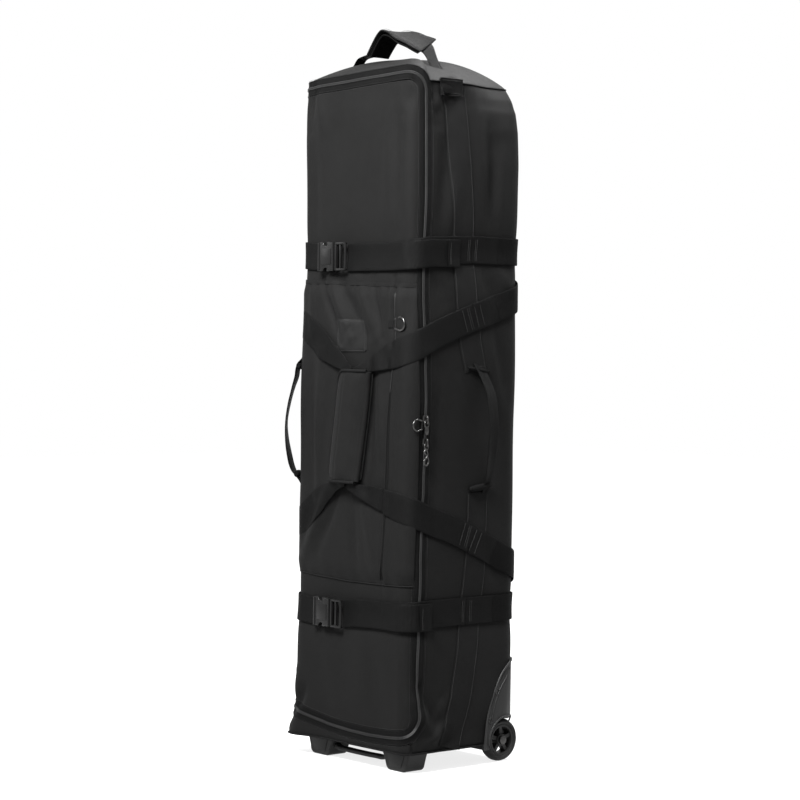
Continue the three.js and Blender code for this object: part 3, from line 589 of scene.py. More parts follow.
class Wire:
    """A shader socket that can be used in sums."""

    def __init__(self, pot, socket):
        self.pot = pot
        self.socket = socket

    def _sum(self, operation, first, second):
        return self.pot.add("ShaderNodeMath", {"operation": operation}, {0: first, 1: second})

    def __add__(self, other):
        return self._sum("ADD", self, other)

    def __radd__(self, other):
        return self._sum("ADD", other, self)

    def __sub__(self, other):
        return self._sum("SUBTRACT", self, other)

    def __rsub__(self, other):
        return self._sum("SUBTRACT", other, self)

    def __mul__(self, other):
        return self._sum("MULTIPLY", self, other)

    def __rmul__(self, other):
        return self._sum("MULTIPLY", other, self)

    def sine(self):
        """Sine of the value, in radians."""
        return self.pot.add("ShaderNodeMath", {"operation": "SINE"}, {0: self})

    def size(self):
        """The value without its sign."""
        return self.pot.add("ShaderNodeMath", {"operation": "ABSOLUTE"}, {0: self})

    def between(self, low, high):
        """0 at low, 1 at high, held inside."""
        return self.pot.add(
            "ShaderNodeMapRange", {"clamp": True}, {"Value": self, "From Min": low, "From Max": high}
        )


# Sockets of a Mix node that mixes colours, by their place on the node
MIX_SHARE, MIX_FIRST, MIX_SECOND = 0, 6, 7
MIX_COLOUR = 2
OBJECT_PLACE = 3  # output of Texture Coordinate: the point on the object


class Pot:
    """One material being mixed."""

    def __init__(self, name):
        self.material = bpy.data.materials.new(name)
        self.material.use_nodes = True
        self.tree = self.material.node_tree
        self.shader = self.tree.nodes["Principled BSDF"]

    def add(self, kind, settings=None, sockets=None, out=0):
        """Adds a node: its settings first, then its sockets' values or links."""
        node = self.tree.nodes.new(kind)
        for name, value in (settings or {}).items():
            setattr(node, name, value)
        for name, value in (sockets or {}).items():
            self.join(value, node.inputs[name])
        return Wire(self, node.outputs[out])

    def join(self, value, socket):
        """Links a wire to a socket, or sets the socket's value."""
        if isinstance(value, Wire):
            self.tree.links.new(value.socket, socket)
        else:
            socket.default_value = value

    def flat_map(self):
        """The piece's flat map in millimetres: along and across."""
        flat = self.add("ShaderNodeUVMap", {"uv_map": "flat"})
        along = self.add("ShaderNodeSeparateXYZ", None, {0: flat}, out="X")
        across = self.add("ShaderNodeSeparateXYZ", None, {0: flat}, out="Y")
        return along * MM_PER_METRE, across * MM_PER_METRE

    def place(self):
        """The point's place on the object in metres."""
        return self.add("ShaderNodeTexCoord", out=OBJECT_PLACE)

    def noise(self, scale, detail=2.0, rough=0.5):
        """Soft random field over the object."""
        sockets = {"Vector": self.place(), "Scale": scale, "Detail": detail, "Roughness": rough}
        return self.add("ShaderNodeTexNoise", None, sockets)

    def blend(self, share, first, second):
        """A colour between two colours."""
        sockets = {MIX_SHARE: share, MIX_FIRST: first, MIX_SECOND: second}
        return self.add("ShaderNodeMix", {"data_type": "RGBA"}, sockets, out=MIX_COLOUR)

    def bump(self, height, distance, strength=1.0):
        """Normal of a surface raised by a height."""
        return self.add(
            "ShaderNodeBump", None, {"Height": height, "Distance": distance, "Strength": strength}
        )

    def finish(self, **sockets):
        """Sets the shader's sockets, given by their names with _ for spaces."""
        for name, value in sockets.items():
            self.join(value, self.shader.inputs[name.replace("_", " ")])
        return self.material


def grey(level, warm=0.0, alpha=1.0):
    """A nearly neutral colour."""
    return (level * (1 + warm), level, level * (1 - warm), alpha)


def weave_height(pot, pitch):
    """Height of a plain weave: threads over and under each other."""
    u, v = pot.flat_map()
    turn = 2 * math.pi / pitch
    warp = (u * turn).sine()
    weft = (v * turn).sine()
    over = ((u * (turn / 2)).sine() * (v * (turn / 2)).sine()).size()
    return warp.size() * over + weft.size() * (1 - over)


def woven(name, level, pitch=1.3, rough=0.6, sheen=0.004):
    """Heavy polyester cloth: a plain weave, mottled, with faint dust and rub."""
    pot = Pot(name)
    weave = weave_height(pot, pitch)
    mottle = pot.noise(60.0, 3.0, 0.6)
    cloud = pot.noise(7.0, 2.0, 0.5)
    grain = pot.noise(900.0, 1.0, 0.6)
    share = (mottle * 0.4 + cloud * 0.3 + grain * 0.5 + weave * 0.12 - 0.25).between(0.0, 0.9)
    colour = pot.blend(share, grey(level * 0.68), grey(level * 1.42, 0.01))
    roughness = rough + (mottle - 0.5) * 0.12 + (grain - 0.5) * 0.1
    height = weave * 0.6 + grain * 0.5 + mottle * 0.3
    return pot.finish(
        Base_Color=colour,
        Roughness=roughness,
        Normal=pot.bump(height, 0.0005, 0.55),
        Sheen_Weight=sheen,
        Sheen_Roughness=0.5,
        Specular_IOR_Level=0.03,
    )


def ribbed_web(name, level, rib=1.9, rough=0.5):
    """Nylon webbing: ribs across it, a herringbone of fine threads and firm edges."""
    pot = Pot(name)
    u, v = pot.flat_map()
    across = (u * (2 * math.pi / rib) + (v * (2 * math.pi / 4.2)).sine() * 0.8).sine()
    along = (v * (2 * math.pi / 1.05)).sine()
    grain = pot.noise(700.0, 2.0, 0.6)
    cloud = pot.noise(24.0, 2.0, 0.5)
    share = (across * 0.16 + along * 0.1 + grain * 0.6 + cloud * 0.4).between(0.1, 1.0)
    colour = pot.blend(share, grey(level * 0.6), grey(level * 1.45))
    return pot.finish(
        Base_Color=colour,
        Roughness=rough + (grain - 0.5) * 0.2,
        Normal=pot.bump(across * 0.5 + along * 0.25 + grain * 0.2, 0.0006, 0.6),
        Specular_IOR_Level=0.025,
    )


def moulded(name, level, rough, grain_scale=420.0, depth=0.0003, coat=0.0, wear=0.0, shine=0.1):
    """Injection moulded plastic with a fine spark-eroded grain and rubbed edges."""
    pot = Pot(name)
    grain = pot.noise(grain_scale, 3.0, 0.65)
    cloud = pot.noise(18.0, 2.0, 0.5)
    colour = pot.blend(
        (cloud * 0.6 + grain * 0.4).between(0.25, 0.8), grey(level * 0.75), grey(level * (1.3 + wear))
    )
    return pot.finish(
        Base_Color=colour,
        Roughness=rough + (cloud - 0.5) * 0.14 + (grain - 0.5) * 0.08,
        Normal=pot.bump(grain, depth, 0.5),
        Coat_Weight=coat,
        Coat_Roughness=0.12,
        Specular_IOR_Level=shine,
    )


def cast_metal(name, level, rough):
    """Dark plated zinc: brushed, a little scuffed, brighter where it is handled."""
    pot = Pot(name)
    scuff = pot.noise(240.0, 4.0, 0.7)
    cloud = pot.noise(40.0, 2.0, 0.5)
    colour = pot.blend(
        (scuff * 0.6 + cloud * 0.5).between(0.35, 0.8), grey(level * 0.55), grey(level * 1.6, 0.02)
    )
    return pot.finish(
        Base_Color=colour,
        Metallic=1.0,
        Roughness=rough + (scuff - 0.5) * 0.2,
        Normal=pot.bump(scuff, 0.0001, 0.4),
    )


def stitched_thread(name, level):
    """Bonded sewing thread, twisted."""
    pot = Pot(name)
    u, v = pot.flat_map()
    twist = ((u + v * 1.4) * (2 * math.pi / 0.7)).sine()
    colour = pot.blend(twist.between(-1.0, 1.0), grey(level * 0.7), grey(level * 1.3))
    return pot.finish(
        Base_Color=colour, Roughness=0.55, Normal=pot.bump(twist, 0.0002, 0.5), Specular_IOR_Level=0.1
    )


def pressed_rubber(name, level):
    """Soft moulded rubber patch, leather-like pebble."""
    pot = Pot(name)
    cells = pot.add(
        "ShaderNodeTexVoronoi", {"feature": "SMOOTH_F1"}, {"Vector": pot.place(), "Scale": 700.0}
    )
    cloud = pot.noise(50.0, 2.0, 0.5)
    colour = pot.blend(cloud.between(0.3, 0.7), grey(level * 0.8), grey(level * 1.25))
    return pot.finish(
        Base_Color=colour,
        Roughness=0.46 + (cloud - 0.5) * 0.12,
        Specular_IOR_Level=0.05,
        Normal=pot.bump(cells, 0.0003, 0.35),
    )


# How much of the lamps' light the floor gives back.
FLOOR_PAINT = 0.2


def pale_floor(name, level):
    """Plain lit-from-below studio sweep, with the faintest mottling."""
    pot = Pot(name)
    cloud = pot.noise(3.0, 2.0, 0.5)
    colour = pot.blend(cloud, grey(FLOOR_PAINT), grey(FLOOR_PAINT * 1.05))
    return pot.finish(
        Base_Color=colour,
        Roughness=0.95,
        Specular_IOR_Level=0.0,
        Emission_Color=grey(1.0),
        Emission_Strength=level,
    )


LOOKS = {}


def looks():
    """The finishes, mixed once."""
    if not LOOKS:
        tune = bpy.context.scene.case_looks
        cloth = tune.cloth_level
        web = tune.web_level
        LOOKS["cloth"] = woven("case_cloth", cloth)
        LOOKS["top_cloth"] = woven("ribbed_top_cloth", cloth * 1.05, 2.4)
        LOOKS["lining"] = woven("grey_lining", 0.035, 1.0, 0.7)
        LOOKS["foam_cover"] = woven("foam_cover", 0.03, 1.6, 0.75)
        LOOKS["web"] = ribbed_web("strap_webbing", web)
        LOOKS["dark_web"] = ribbed_web("elastic_webbing", web * 0.7, 3.4, 0.6)
        LOOKS["tape"] = ribbed_web("zip_tape", web * 0.9, 1.2, 0.55)
        LOOKS["coil"] = moulded("zip_coil", 0.007, 0.35, 300.0, 0.0001, shine=0.12)
        LOOKS["binding"] = ribbed_web("edge_binding", cloth * 1.15, 1.4, 0.55)
        LOOKS["gloss"] = moulded("buckle_acetal", 0.003, 0.3, 60.0, 0.000002, 0.0, shine=0.11)
        LOOKS["matte"] = moulded("housing_plastic", 0.007, 0.5, 420.0, 0.00025)
        LOOKS["rubber"] = moulded("tyre_rubber", 0.006, 0.62, 260.0, 0.0003)
        LOOKS["hub"] = moulded("hub_plastic", 0.007, 0.4, 420.0, 0.0002)
        LOOKS["patch"] = pressed_rubber("pressed_patch", 0.0034)
        LOOKS["metal"] = cast_metal("gunmetal", 0.045, 0.3)
        LOOKS["steel"] = cast_metal("axle_steel", 0.035, 0.38)
        LOOKS["thread"] = stitched_thread("black_thread", 0.012)
    return LOOKS


# ---- Cloth of the body ----

SEAM = TAPE + 2.0
SIDE_RUN = (
    (28, side_at(58.0)), (80, side_at(62.0)), (135, side_at(79.0)), (186, side_at(119.0)),
    (197, BACK_SEAM),
)


def flat_maps(s, z):
    """Flat map of a sheet from its run round the case and its height, in metres."""
    return np.stack([s, z], -1) * MM


def walls():
    """Side and back panels of the body."""
    look = [looks()["cloth"], looks()["lining"]]
    right_of, _, _ = zip_bounds(SEAM)
    z = np.concatenate([spread(39.0, 196.0, 5.0), spread(198.0, SIDE_TOP, 5.0)])
    from_s = np.maximum(right_of(z), 163.0)
    to_s = line(z, SIDE_RUN)
    t = spread(0.0, 250.0, 5.0) / 250.0
    s = from_s[:, None] + (to_s - from_s)[:, None] * t
    zz = np.broadcast_to(z[:, None], s.shape)
    right = add_panel(Bench(), s, zz, marks=(0, 1)).make("side_cloth_right", look)
    settle(right, "shell", "shell_fabric", "side_panel_right")
    from_s = np.full(z.shape, ZIP + 0.6)
    s = -(from_s[:, None] + (to_s - from_s)[:, None] * t)
    left = add_panel(Bench(), s, zz, marks=(0, 1)).make("side_cloth_left", look)
    settle(left, "shell", "shell_fabric", "side_panel_left")
    half = line(z, ((190, BACK_MIDDLE - BACK_START - 9.0), (200, BACK_MIDDLE - BACK_SEAM)))
    t = spread(-1.0, 1.0, 0.04, False)
    s = BACK_MIDDLE - half[:, None] * t
    zz = np.broadcast_to(z[:, None], s.shape)
    grid_out = np.where(
        (s <= BACK_MIDDLE)[..., None], skin(s, zz, 0.0), skin(-(2 * BACK_MIDDLE - s), zz, 0.0)
    )
    grid_in = np.where(
        (s <= BACK_MIDDLE)[..., None], skin(s, zz, -WALL), skin(-(2 * BACK_MIDDLE - s), zz, -WALL)
    )
    back = Bench().panel(grid_out, grid_in, flat_maps(s, zz), 0, 1).make("back_cloth", look)
    settle(back, "shell", "shell_fabric", "back_panel")
    piping = Bench()
    for hand in (1, -1):
        up = np.linspace(200.0, SIDE_TOP, 160)
        piping.tube(skin(np.full(up.shape, hand * BACK_SEAM), up, 0.2), PIPING)
    settle(piping.make("back_seam_piping", looks()["binding"]), "shell", "webbing")


def dome_grid(lift, rings=22, stops=150):
    """Points of the domed top: rings from its rim to the middle."""
    s = np.linspace(-BACK_MIDDLE, BACK_MIDDLE, stops, endpoint=False)
    rim = rim_height(s)
    edge = skin(s, rim, lift)
    k = np.concatenate([[1.0, 0.992, 0.98, 0.96], np.linspace(0.93, 0.05, rings - 4)])
    plan = edge[:, :2][None] * k[:, None, None]
    rise = (1 - k[:, None] ** 2.1) ** 0.85 * (1 - 0.32 * ramp(-plan[..., 0], 10.0, 170.0))
    crest = CREST + lift + 2.0 * np.sin(
        plan[..., 0] / 47.0 + 1.0
    ) * np.sin(plan[..., 1] / 39.0) - 0.035 * plan[..., 0]
    z = rim[None] + (crest - rim[None]) * rise
    pillow = 3.0 * np.sin(np.pi * np.clip(k, 0, 1)) ** 0.5
    z = z + pillow[:, None] * np.clip(1 - k[:, None] ** 6, 0, 1) - (k[:, None] == 1.0) * 1.5
    return np.concatenate([plan, z[..., None]], -1), s


def top():
    """Domed top panel with its piping."""
    outer, s = dome_grid(0.0)
    inner, _ = dome_grid(-WALL)
    bench = Bench()
    rings, stops = outer.shape[:2]
    index = np.arange(rings * stops).reshape(rings, stops)
    step = np.roll(index, -1, 1)
    a, b, c, d = (g.ravel() for g in (index[:-1], step[:-1], step[1:], index[1:]))
    faces = list(zip(a, b, c, d)) + [tuple(index[-1][::-1])]
    maps = np.stack([outer[..., 0], outer[..., 1]], -1) * MM
    n = rings * stops
    under = [tuple(i + n for i in face[::-1]) for face in faces]
    rim = [
        (index[0, i], index[0, i] + n, index[0, (i + 1) % stops] + n, index[0, (i + 1) % stops])
        for i in range(stops)
    ]
    both = np.concatenate([outer.reshape(-1, 3), inner.reshape(-1, 3)])
    bench.add(both, faces + rim, np.concatenate([maps.reshape(-1, 2)] * 2))
    bench.faces += under
    bench.marks += [1] * len(under)
    settle(
        bench.make("top_cloth", [looks()["top_cloth"], looks()["lining"]]),
        "shell",
        "shell_fabric",
        "top_panel",
    )
    piping = Bench().tube(skin(s, rim_height(s), 0.0), 1.1, closed=True)
    settle(piping.make("top_piping", looks()["binding"]), "shell", "webbing")


def base():
    """Skirt under the door and the bottom plate."""
    _, _, foot_of = zip_bounds(SEAM)
    s = spread(-ZIP, 163.0, 5.0)
    low = 38.0
    high = np.minimum(foot_of(s), line(s, ZIP_FOOT) - SEAM)
    t = spread(0.0, 20.0, 3.0) / 20.0
    zz = low + (high - low)[None, :] * t[:, None]
    ss = np.broadcast_to(s[None, :], zz.shape)
    bench = add_panel(Bench(), ss, zz, marks=(0, 1), hem=1.4)
    edge_s = np.linspace(-side_at(50.0), side_at(50.0), 90)
    plan = skin(edge_s, np.full(edge_s.shape, 38.0), -1.0)[:, :2]
    shape = [*plan.tolist(), [103.0, 50.0], [103.0, 136.0], [-103.0, 136.0], [-103.0, 50.0]]
    bench.prism(shape, 36.2, 39.5, "z", 0.0)
    settle(
        bench.make("base_cloth", [looks()["cloth"], looks()["lining"]]),
        "shell",
        "shell_fabric",
        "base_tray",
    )
    s = np.linspace(-side_at(48.0), side_at(48.0), 200)
    piping = Bench().tube(skin(s, np.full(s.shape, 38.5), 0.4), PIPING)
    up = np.linspace(40.0, 54.0, 8)
    piping.tube(skin(np.full(up.shape, 163.0), up, 0.2), 0.9)
    settle(piping.make("base_piping", looks()["binding"]), "shell", "webbing")


# ---- Zip ----


def zip_halves():
    """Both tapes of the zip, their coils and their stitching."""
    for name, hand, body, node in (
        ("shell", 1, "shell", "zip_tape_shell"), ("door", -1, "door", "zip_tape_door")
    ):
        bench = Bench()
        s, z = zip_line(hand * (TAPE / 2 + 1.8))
        add_web(bench, s, z, TAPE + 2.5, -0.7, 1.3, cross=3)
        s, z = zip_line(hand * (SEAM + 0.6))
        bench.tube(skin(s, z, 0.1), 1.15, 6, mark=2)
        s, z = zip_line(hand * 1.35)
        run = np.concatenate([[0.0], np.cumsum(np.hypot(np.diff(s), np.diff(z)))])
        at = np.arange(0.0, run[-1], 0.95)
        course = skin(np.interp(at, run, s), np.interp(at, run, z), 1.0)
        bench.tube(course, 1.3 + 0.22 * np.sin(at * 2 * math.pi / 3.0), 6, mark=1)
        s, z = zip_line(hand * (SEAM + 3.2))
        add_stitches(bench, skin(s, z, 0.15), 4.2, 3.0, 0.34, mark=3)
        made = bench.make(
            "zip_" + name + "_half",
            [looks()["tape"], looks()["coil"], looks()["binding"], looks()["thread"]],
        )
        settle(made, body, "webbing", node)


# ---- Door ----


def door():
    """Front door panel."""
    look = [looks()["cloth"], looks()["lining"]]
    right_of, _, _ = zip_bounds(-SEAM + 0.5)
    v = spread(0.0, 1175.0, 5.0) / 1175.0
    z_ref = 78.5 + v * (1252.5 - 78.5)
    to_s = right_of(z_ref)
    u = spread(0.0, 340.0, 5.0) / 340.0
    s = -ZIP + 0.6 + (to_s + ZIP - 0.6)[:, None] * u
    low = line(s, ZIP_FOOT) + SEAM - 0.5
    high = line(s, ZIP_HEAD) - SEAM + 0.5
    z = low + (high - low) * v[:, None]
    settle(
        add_panel(Bench(), s, z, marks=(0, 1)).make("door_cloth", look),
        "door",
        "shell_fabric",
        "door_panel",
    )


POCKET_TOP = ((-180, 889), (-100, 888), (0, 885), (90, 882), (170, 880))
POCKET_FOOT = ((-180, 348), (-100, 343), (0, 339), (170, 342))
PLEAT = ((881, 117), (793, 121), (694, 111), (531, 107), (340, 90))


def pocket_lift(s, z):
    """Height of the pocket's cloth over the door."""
    top_z, foot_z = line(s, POCKET_TOP), line(s, POCKET_FOOT)
    inside = ramp(z, foot_z - 1, foot_z + 26) * (1 - ramp(z, top_z - 22, top_z + 1))
    pleat_s = line(z, PLEAT)
    gather = 0.8 * np.sin(s / 5.1 + np.sin(s / 17.0) * 2) * np.exp(-np.abs(top_z - z) / 16.0)
    gather = gather + 0.6 * np.sin(s / 6.3) * np.exp(-np.abs(z - foot_z) / 12.0)
    slit = -2.6 * bell(s, pleat_s, 3.0) * ramp(z, 640, 730) * (1 - ramp(z, 872, 884))
    return 1.6 + 3.4 * inside + gather + slit


POCKET_LEFT = -174.0
POCKET_LOW = 340.0
POCKET_TALL = 540.0
POCKET_WIDE = 340.0
POCKET_GAP = 0.35


def pocket():
    """Large front pocket, its top lip and the pleat with the zip."""
    right_of, _, _ = zip_bounds(-SEAM - 1.0)
    v = spread(0.0, POCKET_TALL, 4.0) / POCKET_TALL
    to_s = right_of(POCKET_LOW + 545.0 * v)
    u = spread(0.0, POCKET_WIDE, 4.0) / POCKET_WIDE
    s = POCKET_LEFT + (to_s - POCKET_LEFT)[:, None] * u
    low, high = line(s, POCKET_FOOT), line(s, POCKET_TOP)
    z = low + (high - low) * v[:, None]
    lift = pocket_lift(s, z)
    rows, cols = v * POCKET_TALL, u * POCKET_WIDE
    outer = skin(s, z, lift + hemmed(rows, cols, 1.1, 2.5))
    inner = skin(s, z, np.full(s.shape, POCKET_GAP))
    made = Bench().panel(outer, inner, flat_maps(s, z)).make("pocket_cloth", looks()["cloth"])
    settle(made, "door", "shell_fabric", "pocket_panel")
    lip = Bench()
    s = np.linspace(-172.0, float(right_of(881.0)), 110)
    zl = line(s, POCKET_TOP) + 0.5
    wander = 1.0 * np.sin(s / 13.0) + 0.7 * np.sin(s / 5.7 + 1)
    add_web(lip, s, zl + 1.5 + wander * 0.4, 6.0, 0.9 + 0.3 * wander, 1.0, cross=3)
    lip.tube(skin(s, zl - 2.0 + wander * 0.4, 1.5 + 0.3 * wander), 0.8, 6)
    s = np.linspace(-172.0, float(right_of(341.0)), 100)
    lip.tube(skin(s, line(s, POCKET_FOOT) - 0.5, 0.8), 1.3, 6)
    settle(lip.make("pocket_lip", looks()["cloth"]), "door", "shell_fabric")
    seam = Bench()
    z = np.linspace(350.0, 872.0, 150)
    s = line(z, PLEAT)
    add_web(seam, s + 3.0, z, 6.0, pocket_lift(s + 3.0, z) - 0.4, 1.0, cross=3)
    edge = skin(s - 1.5, z, pocket_lift(s - 1.5, z) + 0.5)
    seam.tube(edge, 1.3, 6, mark=1)
    teeth = np.linspace(690.0, 868.0, 160)
    ts = line(teeth, PLEAT) + 3.0
    seam.tube(
        skin(ts, teeth, pocket_lift(ts, teeth) + 0.8), 0.9 + 0.2 * np.sin(np.arange(160) * 2.1), 6, mark=2
    )
    made = seam.make("pocket_side_zip", [looks()["tape"], looks()["cloth"], looks()["coil"]])
    settle(made, "door", "webbing", "pocket_zip")


def patch():
    """Blank pressed patch with its stitched border."""
    corners = ((-38.0, 759.0), (49.0, 760.0), (41.0, 820.0), (-45.0, 821.0))
    u = spread(0.0, 1.0, 0.05, False)
    v = spread(0.0, 1.0, 0.06, False)

    def at(a, b):
        """Points across the patch, from shares of its width and height."""
        low = np.array(corners[0]) + (np.array(corners[1]) - corners[0]) * a[..., None]
        high = np.array(corners[3]) + (np.array(corners[2]) - corners[3]) * a[..., None]
        return low + (high - low) * b[..., None]

    a, b = np.meshgrid(u, v)
    inset = 0.055 * (np.clip(np.abs(a - 0.5) * 2, 0, 1) ** 12) * (np.abs(b - 0.5) * 2) ** 12
    place = at(a + inset * np.sign(0.5 - a), b + inset * np.sign(0.5 - b))
    s, z = place[..., 0], place[..., 1]
    edge = np.maximum(np.abs(a - 0.5), np.abs(b - 0.5)) * 2
    frame_line = 0.5 * bell(edge, 0.86, 0.04)
    lift = pocket_lift(s, z) + 0.6 + 1.7 * (1 - edge**14) - frame_line
    bench = Bench().panel(skin(s, z, lift), skin(s, z, lift * 0 + pocket_lift(s, z) - 0.6), flat_maps(s, z))
    ring = np.concatenate(
        [
            np.stack([np.linspace(0.05, 0.95, 20), np.full(20, 0.06)], 1),
            np.stack([np.full(14, 0.95), np.linspace(0.06, 0.94, 14)], 1),
            np.stack([np.linspace(0.95, 0.05, 20), np.full(20, 0.94)], 1),
            np.stack([np.full(14, 0.05), np.linspace(0.94, 0.06, 14)], 1),
        ]
    )
    where = at(ring[:, 0], ring[:, 1])
    run = skin(where[:, 0], where[:, 1], pocket_lift(where[:, 0], where[:, 1]) + 2.1)
    add_stitches(bench, run, 3.4, 2.4, 0.4, mark=1)
    settle(bench.make("blank_patch", [looks()["patch"], looks()["thread"]]), "door", "patch", "label_patch")


# ---- Compression straps ----

UPPER_LINE = (
    (-BACK_MIDDLE, 948), (-293, 949), (-190, 942), (-96, 936), (-20, 934), (100, 935), (150, 939),
    (190, 946), (293, 950), (BACK_MIDDLE, 948),
)
LOWER_LINE = (
    (-BACK_MIDDLE, 292), (-293, 290), (-190, 281), (-96, 275), (-30, 276), (20, 283), (134, 287),
    (190, 290), (293, 290), (BACK_MIDDLE, 292),
)
WEB = 50.0
WEB_THICK = 1.7
STRAP_LIFT = 2.4
STITCH_SIDE = side_at(0.0)


def cross_stitch(bench, s, z, lift, half=21.0, mark=1, slope=0.0):
    """A row of stitches across webbing."""
    run = np.linspace(-half, half, 16)
    return add_stitches(bench, skin(s + run * slope, z + run, lift), 3.2, 2.3, 0.42, mark=mark)


BUCKLE_LEFT = -88.0
BUCKLE_RIGHT = -46.0
BUCKLE_HALF = 27.0
BUCKLE_NOTCH = 7.5
ELASTIC_FROM = side_at(66.0)  # the dark elastic end of each strap starts here
FREE_END = -18.0
STITCH_LIFT = 1.8
# Where webbing passes from one body to the other, across and in depth
RIGHT_BEND = ((160, -113, 0), (118, -139, 0))
LEFT_BEND = ((-160, -105, 0), (-122, -140, 0))


def straps():
    """Both compression straps without their buckles."""
    web_looks = [looks()["web"], looks()["thread"], looks()["dark_web"]]
    for name, course, tail_end in (("upper", UPPER_LINE, -33.0), ("lower", LOWER_LINE, -88.0)):
        back = Bench()
        s = spread(STITCH_SIDE + 0.4, ELASTIC_FROM, 5.0)
        for hand in (1, -1):
            add_web(back, hand * s, line(hand * s, course), WEB, STRAP_LIFT, WEB_THICK)
            for y in (-4.0, 9.0, 13.0):
                if side_at(y) > STITCH_SIDE:
                    cross_stitch(
                        back, hand * side_at(y), line(hand * side_at(y), course), STRAP_LIFT + STITCH_LIFT
                    )
        for hand in (1, -1):
            s = spread(ELASTIC_FROM - 0.5, BACK_MIDDLE, 5.0)
            add_web(back, hand * s, line(hand * s, course), WEB - 1.0, STRAP_LIFT + 0.3, WEB_THICK, mark=2)
        settle(back.make(name + "_strap_behind", web_looks), "shell", "webbing", name + "_strap_back")
        left = Bench()
        s = spread(-STITCH_SIDE + 0.4, BUCKLE_LEFT, 5.0)
        add_web(left, s, line(s, course), WEB, STRAP_LIFT, WEB_THICK)
        for at in (-STITCH_SIDE + 5.0, -STITCH_SIDE + 9.0):
            cross_stitch(left, at, line(at, course), STRAP_LIFT + STITCH_LIFT)
        made = left.make(name + "_strap_fixed_end", web_looks)
        settle_bent(made, "shell", "door", *LEFT_BEND, "webbing", name + "_strap_left")
        right = Bench()
        s = spread(FREE_END, STITCH_SIDE - 0.4, 5.0)
        add_web(right, s, line(s, course), WEB, STRAP_LIFT, WEB_THICK)
        for at in (STITCH_SIDE - 5.0, STITCH_SIDE - 9.0):
            cross_stitch(right, at, line(at, course), STRAP_LIFT + STITCH_LIFT)
        s = spread(-14.0, side_at(tail_end), 5.0)
        drop = line(s, ((-14, 0.0), (100, -1.0), (180, -4.5), (260, -6.5)))
        wave = 0.8 * np.sin(s / 19.0) + 0.9 * ramp(s, 60.0, 110.0)
        add_web(right, s, line(s, course) + drop, WEB, STRAP_LIFT + 2.0 + np.clip(wave, 0, 2), WEB_THICK)
        fold = spread(side_at(tail_end) - 27.0, side_at(tail_end) - 0.5, 4.0)
        fold_drop = line(fold, ((180, -4.5), (260, -6.5)))
        add_web(right, fold, line(fold, course) + fold_drop, WEB - 0.6, STRAP_LIFT + 5.2, 1.4)
        at = side_at(tail_end) - 22.0
        cross_stitch(right, at, float(line(at, course)) - 6.0, STRAP_LIFT + 6.8)
        made = right.make(name + "_strap_free_end", web_looks)
        settle_bent(made, "shell", name + "_strap", *RIGHT_BEND, "webbing", name + "_strap_right")


def buckles():
    """Side release buckles with their ladder ends."""
    for name, course in (("upper", UPPER_LINE), ("lower", LOWER_LINE)):
        z = float(line(-50.0, course)) + 1.0
        half, notch = BUCKLE_HALF, BUCKLE_NOTCH
        left, right = BUCKLE_LEFT, BUCKLE_RIGHT
        socket = Bench()
        mid = (left + right) / 2 - 2
        turn = np.linspace(math.pi, 2 * math.pi, 11)
        upper = [(mid + notch * math.cos(t), z + half + notch * 0.9 * math.sin(t)) for t in turn]
        turn = np.linspace(0, math.pi, 11)
        lower = [(mid + notch * math.cos(t), z - half + notch * 0.9 * math.sin(t)) for t in turn]
        shape = [
            (left, z - half), *lower[::-1], (right, z - half + 1.5), (right, z + half - 1.5),
            *upper[::-1], (left, z + half),
        ]
        socket.prism(shape, -154.5, -146.5, "y", 2.0, 3)
        socket.box((left + 8, right - 6), (-155.6, -153), (z - 15, z + 15), 1.4)
        for x in (left + 0.6, right - 1.0):
            rows = np.linspace(z - half + 1, z + half - 1, 12)
            socket.tube(np.stack([np.full(12, x), np.full(12, -154.4), rows], 1), 2.1, 8)
        socket.box((left - 7, left - 3), (-150.5, -144.5), (z - half + 1, z + half - 1), 1.4)
        for side in (-1, 1):
            edge = sorted((z + side * (half - 4), z + side * (half - 1)))
            socket.box((left - 6, left + 4), (-150.5, -145.5), edge, 1.2)
        settle(
            socket.make(name + "_buckle_body", looks()["gloss"]),
            "door",
            "buckle",
            name + "_buckle_socket",
        )
        plug = Bench()
        start = right + 1.0
        plug.box((start, start + 6), (-153.5, -146.5), (z - half + 1.5, z + half - 1.5), 1.6)
        for side in (-1, 1):
            rail = sorted((z + side * (half - 5), z + side * (half - 1)))
            plug.box((start + 2, start + 31), (-153.5, -147), rail, 1.4)
            arm = [
                (start - 3, z + side * (half - 4)), (mid + 6, z + side * (half - 7.5)),
                (mid + 2, z + side * (half - 5.0)), (mid + 1, z + side * (half - 0.5)),
                (mid + 5, z + side * (half + 0.5)), (start - 3, z + side * (half - 1)),
            ]
            plug.prism(arm if side < 0 else arm[::-1], -152.5, -148.5, "y", 0.9)
        plug.box((start + 14, start + 18), (-152.5, -147.6), (z - half + 4, z + half - 4), 1.2)
        rows = np.linspace(z - half + 2.5, z + half - 2.5, 12)
        bow = 1.2 * np.cos((rows - z) / half * 1.5)
        plug.tube(np.stack([start + 29 + bow, np.full(12, -151.2), rows], 1), 2.5, 8)
        made = plug.make(name + "_buckle_ladder", looks()["gloss"])
        settle(made, name + "_strap", "buckle", name + "_buckle_plug")


# ---- Carry loops and the grip ----


def grip_middle(z):
    """Where the grip's middle lies at a height."""
    return 17.0 + (z - 625.0) * 0.125


